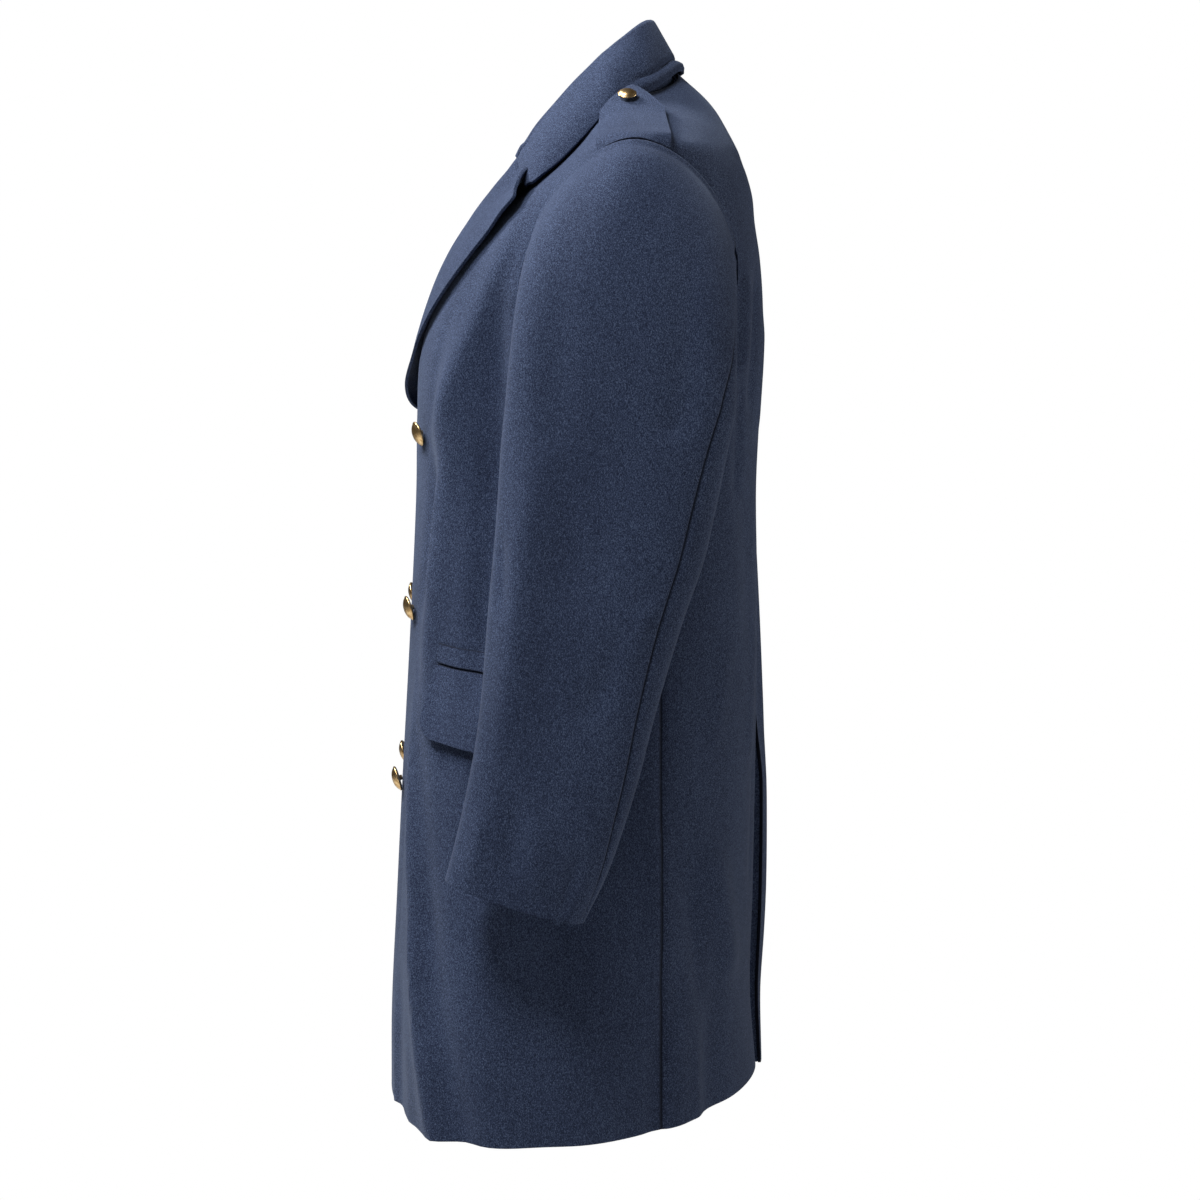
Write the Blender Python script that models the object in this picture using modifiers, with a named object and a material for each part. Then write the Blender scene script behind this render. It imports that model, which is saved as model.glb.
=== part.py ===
"""A double-breasted greatcoat, hollow as when worn, in the pieces that a tailor cuts.

The coat faces -Y, the wearer's left is +X and up is +Z, in metres. Heights are first
measured up from the hem and depths from the middle of the coat. Every piece is then
moved so that the origin lies where the wearer's shoulders carry the coat. The pieces
of the right side are the left side's, worked out on positive X and then turned over.
"""
import math

import bmesh
import bpy
from mathutils import Matrix, Vector

# ---- Driving sizes -------------------------------------------------------------------
WORN_AT = Vector((0.0, 0.040, 0.950))  # on the shoulder line, in the middle
CLOTH = 0.003            # heavy melton, turned in and pressed
SEAM_GAP = 0.0003        # between pieces that are sewn together
ROUND_SEAM_GAP = 0.0008  # and where the seam runs along a sharper bend
ARMHOLE_GAP = 0.0012     # the sleeve's edge lies this far inside the armhole's
LYING_GAP = 0.0009       # under what lies on a panel
LAP = 0.100              # how far each front passes the middle
LAP_DEPTH = 0.0050       # how far the right front lies under the left
LAP_BLEND = 0.030        # over this width it comes back up
LAP_PROUD = 0.006        # the left front's free edge stands this far forward
BREAK_HEIGHT = 0.652     # where the lapels start to turn back
VENT_HEIGHT = 0.380      # top of the centre vent
UNDERLAP = 0.034         # the right back's extension under the vent
UNDERLAP_SEWN = 0.014    # its other edge, inside the right back
UNDERLAP_ACROSS = [0.0, 0.06, 0.35, 0.60, 0.73, 0.94, 1.0]
FOLD_RADIUS = 0.0022     # inside radius of the turned-back cloth
EDGE = 0.004             # a narrow column or row that keeps a wall's rim square
FRONT_WIDTH = 0.36       # of a front and of a back, for the share that a rim takes
BACK_WIDTH = 0.22

# ---- The body: one row for each height above the hem ---------------------------------
HEIGHT, HALF_WIDTH, FRONT, BACK, MIDDLE, FRONT_POWER, BACK_POWER = range(7)
TORSO = [
    # height  half    front    back    middle  front  back
    #         width   depth    depth   depth   power  power
    (0.000, 0.276, -0.197, 0.166, -0.050, 2.3, 1.7),
    (0.080, 0.271, -0.196, 0.160, -0.046, 2.4, 1.8),
    (0.180, 0.258, -0.191, 0.162, -0.038, 2.5, 2.0),
    (0.300, 0.242, -0.185, 0.164, -0.025, 2.6, 2.1),
    (0.400, 0.228, -0.180, 0.165, -0.012, 2.5, 2.2),
    (0.500, 0.214, -0.175, 0.165, -0.002, 2.5, 2.3),
    (0.580, 0.206, -0.172, 0.164, 0.006, 2.4, 2.3),
    (0.650, 0.205, -0.171, 0.167, 0.014, 2.4, 2.3),
    (0.710, 0.207, -0.168, 0.170, 0.022, 2.3, 2.3),
    (0.760, 0.210, -0.154, 0.170, 0.029, 2.2, 2.3),
    (0.805, 0.214, -0.135, 0.167, 0.034, 2.1, 2.2),
    (0.840, 0.218, -0.106, 0.162, 0.037, 2.0, 2.1),
    (0.865, 0.221, -0.075, 0.160, 0.039, 2.0, 2.0),
    (0.885, 0.222, -0.046, 0.155, 0.040, 2.0, 2.0),
    (0.899, 0.220, -0.028, 0.150, 0.040, 2.0, 2.0),
    (0.910, 0.192, -0.021, 0.146, 0.040, 2.0, 2.0),
    (0.930, 0.146, -0.014, 0.136, 0.040, 2.0, 2.0),
    (0.950, 0.101, -0.008, 0.125, 0.040, 2.0, 2.0),
    (0.965, 0.070, -0.002, 0.113, 0.040, 2.0, 2.0),
    (0.985, 0.048, 0.006, 0.091, 0.038, 2.0, 2.0),
    (0.995, 0.040, 0.010, 0.080, 0.036, 2.0, 2.0),
]

WIDEST_HEIGHT = 0.885    # the shoulders are widest here
NECK_HEIGHT = 0.943      # the fronts end here at the neck

# The largest folds: soft ridges (out) and troughs (in), each along a slanting line.
LOW, LOW_TURN, HIGH, HIGH_TURN, FOLD_WIDTH, FOLD_DEPTH = range(6)
FOLDS = [
    # low    turn   high   turn   half    out or
    # height there  height there  width   in
    (0.430, 52.0, 0.850, 55.0, 0.024, 0.006),
    (0.450, 40.0, 0.640, 39.0, 0.015, -0.004),
    (0.455, 31.0, 0.640, 30.0, 0.013, 0.003),
    (0.200, 56.0, 0.400, 50.0, 0.028, 0.006),
    (-0.05, 72.0, 0.200, 56.0, 0.030, 0.008),
    (-0.05, 50.0, 0.160, 46.0, 0.020, -0.005),
    (-0.05, 92.0, 0.180, 84.0, 0.030, -0.004),
    (0.680, 134.0, 0.800, 131.0, 0.013, 0.005),
    (0.640, 144.0, 0.800, 143.0, 0.014, -0.004),
    (-0.05, 124.0, 0.140, 122.0, 0.026, 0.006),
    (0.100, 146.0, 0.270, 128.0, 0.024, 0.005),
    (-0.05, 138.0, 0.200, 134.0, 0.022, -0.004),
    (0.420, 150.0, 0.600, 141.0, 0.024, -0.003),
]
# The right back stands fuller than the left, most of all beside the open vent.
RIGHT_FULLNESS = [
    # height, how far out
    (0.000, 0.010),
    (0.060, 0.014),
    (0.130, 0.018),
    (0.260, 0.017),
    (0.360, 0.012),
    (0.440, 0.008),
    (0.520, 0.004),
    (0.620, 0.000),
]
FOLD_STRENGTH = {"left": 1.0, "right": 0.8}
FOLD_SHIFT = {"left": 0.0, "right": 2.5}

# ---- Lapels, neck and collar ---------------------------------------------------------
# The fold line of a lapel, then the neck seam up to the shoulder.
ROLL_X, ROLL_LIFT = 1, 2
ROLL_LINE = [
    # height  x       stands off
    (0.652, -0.100, 0.000),
    (0.700, -0.062, 0.002),
    (0.750, -0.022, 0.001),
    (0.800, 0.018, 0.000),
    (0.835, 0.043, 0.006),
    (0.862, 0.062, 0.018),
    (0.880, 0.074, 0.028),
    (0.898, 0.086, 0.037),
    (0.912, 0.089, 0.032),
    (0.925, 0.089, 0.021),
    (0.945, 0.084, 0.006),
]
LIFT_REACH = 0.055       # the lift fades out over this distance from the fold
LIFT_REACH_NECK = 0.033  # and over this one beside the neck

EDGE_X, EDGE_HEIGHT, EDGE_STAND = 1, 2, 3
LAPEL_EDGE = [
    # fold    x       height  stands
    # height                  off
    (0.656, -0.084, 0.654, 0.006),
    (0.672, -0.056, 0.664, 0.014),
    (0.692, -0.014, 0.682, 0.013),
    (0.712, 0.030, 0.706, 0.006),
    (0.735, 0.062, 0.730, 0.0045),
    (0.760, 0.092, 0.757, 0.005),
    (0.790, 0.120, 0.787, 0.005),
    (0.820, 0.139, 0.814, 0.006),
    (0.850, 0.148, 0.834, 0.009),
    (0.880, 0.150, 0.851, 0.016),
    (0.891, 0.144, 0.856, 0.021),
]
LAPEL_ACROSS = [0.0, 0.10, 0.28, 0.5, 0.72, 0.94, 1.0]
LAPEL_ROWS = 12
LAPEL_CROSSING = 0.728   # the right lapel goes under the left one here
FOLD_BEND = [10.0, 55.0, 100.0, 145.0]  # degrees round the fold
TUCKED_LIFT = 0.0023     # where the right lapel goes under, it lies close
TUCKED_STEP = 0.0008     # and its edge is flat, with points this far apart

LAPEL_ROLL_WIDTH = 0.0112  # the right lapel stays this far from the left one's roll

COLLAR = [
    # the neck seam:      fold at the top         outer edge: x, y and how far it
    # turn or height      (x, y, height)          stands off the shoulder
    ("turn", 180.0, (0.000, 0.056, 1.036), (0.000, 0.0895, 0.0035)),
    ("turn", 167.0, (0.017, 0.055, 1.035), (0.026, 0.0835, 0.0035)),
    ("turn", 150.0, (0.034, 0.050, 1.031), (0.054, 0.0710, 0.0035)),
    ("turn", 128.0, (0.049, 0.042, 1.023), (0.080, 0.0560, 0.0035)),
    ("turn", 106.0, (0.060, 0.031, 1.012), (0.094, 0.0430, 0.0028)),
    ("turn", 90.0, (0.066, 0.020, 1.002), (0.106, 0.0310, 0.0026)),
    ("height", 0.942, (0.071, 0.010, 0.993), (0.117, 0.0180, 0.0026)),
    ("height", 0.932, (0.079, -0.009, 0.973), (0.130, -0.0050, 0.0030)),
    ("height", 0.920, (0.083, -0.030, 0.949), (0.138, -0.0270, 0.0034)),
    ("height", 0.911, (0.086, -0.049, 0.927), (0.143, -0.0430, 0.0050)),
    ("height", 0.905, (0.088, -0.060, 0.911), (0.1435, -0.0520, 0.0060)),
    ("height", 0.901, (0.089, -0.0645, 0.907), (0.143, -0.0543, 0.0075)),
]

COLLAR_BOW = 0.07        # the fall bows out by this share of its width

# ---- Sleeves -------------------------------------------------------------------------
ARMHOLE = {"middle": 0.0405, "half_width": 0.0945, "low": 0.678, "high": 0.8985,
           "widest": 0.790, "upper_power": 1.8, "lower_power": 2.2}
SLEEVE_FRONT_Y, SLEEVE_FRONT_Z, SLEEVE_REAR_Y, SLEEVE_REAR_Z, INNER_X, OUTER_X = range(6)
SLEEVE = [
    # front            rear             inner   outer
    (-0.0740, 0.668, 0.1300, 0.656, 0.2110, 0.2980),
    (-0.0784, 0.624, 0.1210, 0.612, 0.2125, 0.3000),
    (-0.0811, 0.580, 0.1110, 0.564, 0.2150, 0.3020),
    (-0.0840, 0.540, 0.1005, 0.520, 0.2185, 0.3045),
    (-0.0880, 0.497, 0.0840, 0.474, 0.2245, 0.3080),
    (-0.0915, 0.452, 0.0690, 0.426, 0.2325, 0.3125),
    (-0.0945, 0.410, 0.0560, 0.381, 0.2400, 0.3165),
    (-0.1000, 0.365, 0.0440, 0.334, 0.2450, 0.3200),
    (-0.1080, 0.322, 0.0300, 0.289, 0.2490, 0.3225),
    (-0.1165, 0.284, 0.0155, 0.249, 0.2515, 0.3245),
    (-0.1265, 0.246, -0.0045, 0.208, 0.2540, 0.3260),
]
SLEEVE_POWER = 2.3
SLEEVE_RADIUS = 0.055
SLEEVE_CLEARANCE = 0.0006
CAP_STEPS = [0.0, 0.06, 0.18, 0.33, 0.5, 0.68, 0.86]
CAP_DROP = 0.016         # the cap leaves the shoulder on a slope
FOREARM_SEAM = 214.0
HINDARM_SEAM = [
    # way down the sleeve, turn from the rear
    (0.00, 8.0),
    (0.25, 6.0),
    (0.33, 12.0),
    (0.42, 33.0),
    (0.60, 42.0),
    (0.85, 34.0),
    (1.00, 17.0),
]

# ---- Straps, pockets and buttons -----------------------------------------------------
STRAP_BASE_X = 0.205
STRAP_TIP_X = 0.100
STRAP_SHOULDER_X = 0.134   # where the strap starts to narrow to its point
STRAP_POINT_POWER = 1.3
STRAP_HALF_BASE = 0.033
STRAP_HALF_TIP = 0.030
STRAP_CLOTH = 0.0028
STRAP_BASE_PLACE = Vector((0.0008, 0.0, 0.0025))  # its sewn end, from the armhole's edge
STRAP_LIFT = [
    # x, lift of the strap's underside above the shoulder
    (0.100, 0.0125),
    (0.106, 0.0112),
    (0.112, 0.0098),
    (0.122, 0.0068),
    (0.132, 0.0043),
    (0.146, 0.0021),
    (0.165, 0.0017),
    (0.185, 0.0019),
    (0.200, 0.0026),
]
POCKET_TURN = 52.5
POCKET_LENGTH = 0.160
POCKET_HEIGHT = 0.4415   # top of the jet at its front end
POCKET_SLOPE = -0.13
JET_HEIGHT = 0.018
JET_CLOTH = 0.0020
FLAP_HEIGHT = 0.067
FLAP_CORNER = 0.020
FLAP_STAND = 0.0022      # how far the flap's lower edge stands off

BUTTON_X = {"left": 0.096, "right": -0.076}
BUTTON_HEIGHTS = [0.636, 0.469, 0.305]
BUTTON_DROOP = 20.0
BUTTON_RADIUS = 0.0122
STRAP_BUTTON_RADIUS = 0.0090
STRAP_BUTTON_X, STRAP_BUTTON_Y = 0.1220, 0.0350
# Radius and height of a button's outline, as shares of the radius, from the shank up.
BUTTON_PROFILE = [
    (0.00, 0.00),
    (0.24, 0.00),
    (0.24, 0.22),
    (0.90, 0.30),
    (1.00, 0.40),
    (0.90, 0.58),
    (0.52, 0.77),
    (0.00, 0.84),
]
BUTTON_SIDES = 12


# ---- Arithmetic ----------------------------------------------------------------------
def smooth(value):
    """A soft step from 0 to 1."""
    value = min(max(value, 0.0), 1.0)
    return value * value * (3.0 - 2.0 * value)


def lerp(start, end, share):
    return start + (end - start) * share


def from_table(table, where, column):
    """One column of a table at a place between its rows, along a smooth curve."""
    last = len(table) - 1
    if where <= table[0][0]:
        return table[0][column]
    if where >= table[last][0]:
        return table[last][column]
    row = next(k for k in range(last) if where <= table[k + 1][0])

    def slope(k):
        low, high = table[max(k - 1, 0)], table[min(k + 1, last)]
        return (high[column] - low[column]) / (high[0] - low[0])

    span = table[row + 1][0] - table[row][0]
    t = (where - table[row][0]) / span
    start, end = table[row][column], table[row + 1][column]
    return (start * (1 + 2 * t) * (1 - t) ** 2 + end * t * t * (3 - 2 * t)
            + span * (slope(row) * t * (1 - t) ** 2 - slope(row + 1) * t * t * (1 - t)))


def steps(count, rim=0.0):
    """Even shares from 0 to 1, with one more beside each end for a square rim."""
    shares = [k / count for k in range(count + 1)]
    if rim:
        shares[1:1] = [rim]
        shares[-1:-1] = [1.0 - rim]
    return shares


# ---- The body's form -----------------------------------------------------------------
def torso_ring(turn, height):
    """A point of the plain body. The turn is 0 in front and 90 at the wearer's side."""
    half_width = from_table(TORSO, height, HALF_WIDTH)
    middle = from_table(TORSO, height, MIDDLE)
    sine, cosine = math.sin(math.radians(turn)), math.cos(math.radians(turn))
    if cosine > 0:
        depth = middle - from_table(TORSO, height, FRONT)
        power = from_table(TORSO, height, FRONT_POWER)
    else:
        depth = from_table(TORSO, height, BACK) - middle
        power = from_table(TORSO, height, BACK_POWER)
    reach = (abs(sine) / half_width) ** power + (abs(cosine) / depth) ** power
    radius = reach ** (-1.0 / power)
    return Vector((radius * sine, middle - radius * cosine, height))


def turn_at_x(x, height):
    """The turn at which the front of the body has this x."""
    half_width = from_table(TORSO, height, HALF_WIDTH)
    depth = from_table(TORSO, height, MIDDLE) - from_table(TORSO, height, FRONT)
    power = from_table(TORSO, height, FRONT_POWER)
    share = min(abs(x) / half_width, 1.0)
    return math.degrees(math.atan2(x, depth * (1.0 - share ** power) ** (1.0 / power)))


def turn_at_depth(y, height):
    """The turn at which the side of the body has this y."""
    half_width = from_table(TORSO, height, HALF_WIDTH)
    middle = from_table(TORSO, height, MIDDLE)
    if y < middle:
        depth = middle - from_table(TORSO, height, FRONT)
        power = from_table(TORSO, height, FRONT_POWER)
    else:
        depth = from_table(TORSO, height, BACK) - middle
        power = from_table(TORSO, height, BACK_POWER)
    share = min(abs(y - middle) / depth, 1.0)
    return math.degrees(math.atan2(half_width * (1.0 - share ** power) ** (1.0 / power),
                                   middle - y))


def fold_height(turn, height, radius, side):
    """How far the folds push the cloth out (or in) here."""
    total = 0.0
    for fold in FOLDS:
        share = (height - fold[LOW]) / (fold[HIGH] - fold[LOW])
        if not 0.0 < share < 1.0:
            continue
        centre = lerp(fold[LOW_TURN], fold[HIGH_TURN], share) + FOLD_SHIFT[side]
        away = math.radians(turn - centre) * radius / fold[FOLD_WIDTH]
        fade = smooth(share * 4.0) * smooth((1.0 - share) * 4.0)
        if fold[LOW] < 0.0:
            fade = smooth((1.0 - share) * 3.0)
        total += fold[FOLD_DEPTH] * fade * math.exp(-away * away)
    return total * FOLD_STRENGTH[side]


def outward(point, height):
    """The level direction from the middle of the body out through a point."""
    middle = from_table(TORSO, height, MIDDLE)
    return Vector((point.x, point.y - middle, 0.0)).normalized()


def front_point(turn, height, side):
    """A point of the outer face of a front, on positive X for either side."""
    point = torso_ring(turn, height)
    out = outward(point, height)
    radius = point.xy.length
    clear_of_lap = smooth((abs(point.x) - LAP) / LAP_BLEND)
    point += out * fold_height(turn, height, radius, side) * clear_of_lap
    if height > BREAK_HEIGHT:
        away = point.x - from_table(ROLL_LINE, height, ROLL_X)
        lift = from_table(ROLL_LINE, height, ROLL_LIFT)
        reach = lerp(LIFT_REACH, LIFT_REACH_NECK, smooth((height - 0.87) / 0.03))
        if side == "right":
            lift *= smooth((height - 0.785) / 0.03)
        point.y -= lift * smooth(1.0 - away / reach)
    if side == "right":
        covered = -from_table(ROLL_LINE, height, ROLL_X)
        point.y += LAP_DEPTH * (1.0 - smooth((point.x - covered - 2 * EDGE) / LAP_BLEND))
    else:
        point.y -= (LAP_PROUD * smooth(-point.x / LAP)
                    * smooth((BREAK_HEIGHT - height) / 0.1))
    return point


def back_point(turn, height, side):
    """A point of the outer face of a back."""
    point = torso_ring(turn, height)
    out = outward(point, height)
    radius = point.xy.length
    point += out * fold_height(turn, height, radius, side)
    if side == "right":
        away = (point.x - 0.035) / 0.045
        open_vent = smooth((VENT_HEIGHT - height) / 0.10)
        at_seam = lerp(smooth(point.x / 0.035), 1.0, open_vent)
        point.y += (from_table(RIGHT_FULLNESS, height, 1) * at_seam
                    * math.exp(-away * away))
    return point


def shoulder_height(x, y):
    """The height of the shoulder's upper face above a place, found by halving."""
    low = WIDEST_HEIGHT if x > 0.15 else 0.80
    high = 0.995
    for _ in range(30):
        height = (low + high) / 2
        half_width = from_table(TORSO, height, HALF_WIDTH)
        middle = from_table(TORSO, height, MIDDLE)
        if x > half_width:
            inside = False
        elif y < middle:
            inside = front_point(turn_at_x(x, height), height, "left").y < y
        else:
            reach = (y - middle) / (from_table(TORSO, height, BACK) - middle)
            inside = (x / half_width) ** 2 + reach ** 2 < 1.0
        low, high = (height, high) if inside else (low, height)
    return low


def normal_at(face, turn, height, side):
    """The outward normal of a face function."""
    step_turn, step_height = 0.5, 0.002
    along = face(turn + step_turn, height, side) - face(turn - step_turn, height, side)
    up = face(turn, height + step_height, side) - face(turn, height - step_height, side)
    return along.cross(up).normalized()


# ---- Edges of the panels -------------------------------------------------------------
def seam_turn(turn, height, way, gap=SEAM_GAP):
    """The turn moved by half a seam's gap, one way or the other."""
    radius = torso_ring(turn, height).xy.length
    return turn + way * math.degrees(0.5 * gap / radius)


def armhole_depth(height, toward):
    """The y of the armhole's edge: toward is -1 in front and +1 behind."""
    if height > ARMHOLE["widest"]:
        share = (height - ARMHOLE["widest"]) / (ARMHOLE["high"] - ARMHOLE["widest"])
        power = ARMHOLE["upper_power"]
    else:
        share = (ARMHOLE["widest"] - height) / (ARMHOLE["widest"] - ARMHOLE["low"])
        power = ARMHOLE["lower_power"]
    reach = (1.0 - min(share, 1.0) ** power) ** (1.0 / power)
    return ARMHOLE["middle"] + toward * (ARMHOLE["half_width"] * reach + SEAM_GAP)


def side_seam_turn(height):
    """The side seam lies behind the side and runs forward under the arm."""
    depth = lerp(0.0655, ARMHOLE["middle"], smooth((height - 0.56) / 0.118))
    return turn_at_depth(depth, height)


def front_edge_turn(height):
    """The free edge of a front, then its lapel's fold, then the neck seam."""
    return turn_at_x(from_table(ROLL_LINE, height, ROLL_X), height)


def shoulder_rise(height):
    """How much higher a row ends at the shoulder seam than at the neck in front."""
    above = (height - ARMHOLE["high"]) / (NECK_HEIGHT - ARMHOLE["high"])
    return SHOULDER_NECK_RISE * smooth(above)


def side_end_turn(height, toward):
    """Where a front (-1) or back (+1) ends: side seam, armhole or shoulder seam."""
    if height < ARMHOLE["low"]:
        return seam_turn(side_seam_turn(height), height, toward)
    if height < ARMHOLE["high"]:
        return turn_at_depth(armhole_depth(height, toward), height)
    gap = ROUND_SEAM_GAP * (3.0 - 2.0 * smooth((height - ARMHOLE["high"]) / 0.02))
    return seam_turn(90.0, height, toward, gap)


# The rows of the fronts and of the backs, which meet at the side and shoulder seams.
PANEL_HEIGHTS = [0.000, EDGE, 0.045, 0.090, 0.140, 0.190, 0.240, 0.290, 0.340, 0.380,
                 0.425, 0.470, 0.515, 0.560, 0.600, 0.640, 0.666, 0.678, 0.684, 0.696,
                 0.720, 0.750, 0.785, 0.815, 0.840, 0.862, 0.878, 0.890, 0.8985, 0.910,
                 0.925, 0.940, NECK_HEIGHT]
SHOULDER_NECK_RISE = 0.012  # the neck is this much higher at the shoulder seam
BACK_NECK_RISE = 0.052      # and at the middle of the back than at the fold of the lapel
BACK_RISE_FROM = 0.860      # the back's rows start to rise towards its middle here


# ---- Meshes --------------------------------------------------------------------------
collection = bpy.data.collections.new("double_breasted_coat")


def clear_scene():
    for thing in list(bpy.data.objects):
        bpy.data.objects.remove(thing, do_unlink=True)
    bpy.context.scene.collection.children.link(collection)


def material(name, colour, roughness, metallic=0.0):
    made = bpy.data.materials.new(name)
    made.use_nodes = True
    shader = made.node_tree.nodes["Principled BSDF"]
    shader.inputs["Base Color"].default_value = (*colour, 1.0)
    shader.inputs["Roughness"].default_value = roughness
    shader.inputs["Metallic"].default_value = metallic
    return made


def add_object(name, mesh, finish):
    mesh.materials.append(finish)
    made = bpy.data.objects.new(name, mesh)
    collection.objects.link(made)
    return made


def add_cloth(name, rows, finish, mirrored=False, thickness=CLOTH):
    """A wall of cloth behind a grid of points, its faces pointing out.

    Each row runs round the body and the rows go up. The thickness is added behind
    the points, or in front of them where it is negative.
    """
    sheet = bmesh.new()
    grid = []
    for row in rows:
        placed = [point - WORN_AT for point in row]
        if mirrored:
            placed = [Vector((-p.x, p.y, p.z)) for p in placed]
        grid.append([sheet.verts.new(p) for p in placed])
    for low, high in zip(grid, grid[1:]):
        for k in range(len(low) - 1):
            corners = [low[k], low[k + 1], high[k + 1], high[k]]
            if mirrored:
                corners.reverse()
            sheet.faces.new(corners)
    mesh = bpy.data.meshes.new(name)
    sheet.to_mesh(mesh)
    sheet.free()
    made = add_object(name, mesh, finish)
    wall = made.modifiers.new("wall", "SOLIDIFY")
    wall.thickness = abs(thickness)
    wall.offset = -1.0 if thickness > 0 else 1.0
    wall.use_quality_normals = True
    return made


# ---- Fronts and backs ----------------------------------------------------------------
def make_front(side, finish):
    """A front from its free edge round to the side seam, up to the shoulder seam."""
    rows = []
    for height in PANEL_HEIGHTS:
        start = front_edge_turn(height)
        end = side_end_turn(height, -1)
        rim = EDGE / FRONT_WIDTH
        rise = shoulder_rise(height)
        rows.append([front_point(lerp(start, end, share), height + rise * share, side)
                     for share in steps(15, rim)])
    add_cloth("front_" + side, rows, finish, mirrored=side == "right")


def make_underlap(finish):
    """The right back's extension, which lies under the left back at the vent."""
    rows = []
    for height in [h for h in PANEL_HEIGHTS if h < VENT_HEIGHT]:
        row = []
        for share in UNDERLAP_ACROSS:
            x = lerp(UNDERLAP, -UNDERLAP_SEWN, share)
            turn = 180.0 - math.degrees(x / torso_ring(180.0, height).y) * 0.8
            inside = CLOTH + SEAM_GAP * 2.0
            if x > -0.002:
                point = torso_ring(turn, height) - Vector((0.0, inside, 0.0))
            else:
                point = back_point(360.0 - turn, height, "right")
                point = Vector((-point.x, point.y - inside, height))
            row.append(point)
        rows.append(row)
    add_cloth("vent_underlap", rows, finish)


def make_back(side, finish):
    """A back from the side seam round to the middle, open below for the vent."""
    rows = []
    for height in PANEL_HEIGHTS:
        start = side_end_turn(height, 1)
        end = seam_turn(180.0, height, -1)
        above = (height - BACK_RISE_FROM) / (NECK_HEIGHT - BACK_RISE_FROM)
        middle_rise = BACK_NECK_RISE * smooth(above)
        row = []
        for share in steps(10, EDGE / BACK_WIDTH):
            rise = lerp(shoulder_rise(height), middle_rise, share)
            turn = lerp(start, end, share)
            row.append(back_point(turn, height + rise, side))
        rows.append(row)
    add_cloth("back_" + side, rows, finish, mirrored=side == "right")


# ---- Lapels --------------------------------------------------------------------------
def make_lapel(side, finish):
    """The turned-back part of a front, rolled over its fold and laid on the chest."""
    rows = []
    lowest = LAPEL_EDGE[0][0] if side == "left" else LAPEL_CROSSING
    for share_up in steps(LAPEL_ROWS, 0.02):
        fold = lerp(lowest, LAPEL_EDGE[-1][0], share_up)
        edge_x = from_table(LAPEL_EDGE, fold, EDGE_X)
        edge_height = from_table(LAPEL_EDGE, fold, EDGE_HEIGHT)
        stand = from_table(LAPEL_EDGE, fold, EDGE_STAND)
        fold_x = from_table(ROLL_LINE, fold, ROLL_X)
        tucked = side == "right" and fold_x < LAPEL_ROLL_WIDTH / 2
        if tucked:
            fold_x = LAPEL_ROLL_WIDTH - fold_x
        fold_turn = turn_at_x(fold_x, fold)
        at_fold = front_point(fold_turn, fold, side)
        normal = normal_at(front_point, fold_turn + 1.0, fold, side)
        inward = (at_fold - front_point(fold_turn + 1.0, fold, side)).normalized()
        lift_at_fold = TUCKED_LIFT if tucked else 2.0 * FOLD_RADIUS
        row = []
        for step, degrees in enumerate(FOLD_BEND):
            bend = math.radians(degrees)
            round_fold = inward * math.sin(bend) - normal * math.cos(bend)
            if tucked:
                row.append(at_fold + normal * TUCKED_LIFT
                           + inward * TUCKED_STEP * (len(FOLD_BEND) - step))
            else:
                row.append(at_fold + inward * SEAM_GAP + (normal + round_fold) * FOLD_RADIUS)
        for share in LAPEL_ACROSS:
            height = lerp(fold, edge_height, share)
            turn = turn_at_x(lerp(fold_x, edge_x, share), height)
            lift = lerp(lift_at_fold, stand, smooth(share * 1.2))
            row.append(front_point(turn, height, side)
                       + normal_at(front_point, turn, height, side) * lift)
        rows.append(row)
    add_cloth("lapel_" + side, rows, finish, mirrored=side == "right",
              thickness=-CLOTH)


# ---- Collar --------------------------------------------------------------------------
def collar_section(row):
    """From the neck seam up the stand, over the fold and down the fall."""
    kind, where, top, edge = row
    if kind == "turn":
        rise = lerp(SHOULDER_NECK_RISE, BACK_NECK_RISE, (where - 90.0) / 90.0)
        neck = back_point(where, NECK_HEIGHT + rise, "left")
    else:
        neck = front_point(front_edge_turn(where), where, "left")
    top = Vector(top)
    fall = Vector((edge[0], edge[1], shoulder_height(edge[0], edge[1]) + edge[2]))
    rise = (top - neck).normalized()
    neck = neck + rise * LYING_GAP * 1.5
    out = (fall - top).normalized()
    side = (out - rise * out.dot(rise)).normalized()
    inner = top - rise * FOLD_RADIUS
    section = [neck, lerp(neck, inner, 0.5) - side * 0.001, inner]
    section.append(inner + (rise * 0.8 + side * 0.35) * FOLD_RADIUS)
    section.append(inner + (rise * 0.9 + side * 1.5) * FOLD_RADIUS)
    outer = inner + side * 2.4 * FOLD_RADIUS
    bulge = (fall - top).length * COLLAR_BOW * smooth(top.x / 0.06)
    for share in (0.12, 0.38, 0.66, 0.92, 1.0):
        bow = 4.0 * share * (1.0 - share) * bulge
        section.append(lerp(outer, fall, share) + side * bow)
    return section


def make_collar(finish):
    left = [collar_section(row) for row in COLLAR]
    right = [[Vector((-p.x, p.y, p.z)) for p in section] for section in left[1:]]
    sections = right[::-1] + left
    rows = [list(row) for row in zip(*sections)]
    add_cloth("collar", rows, finish, thickness=-CLOTH)


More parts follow.
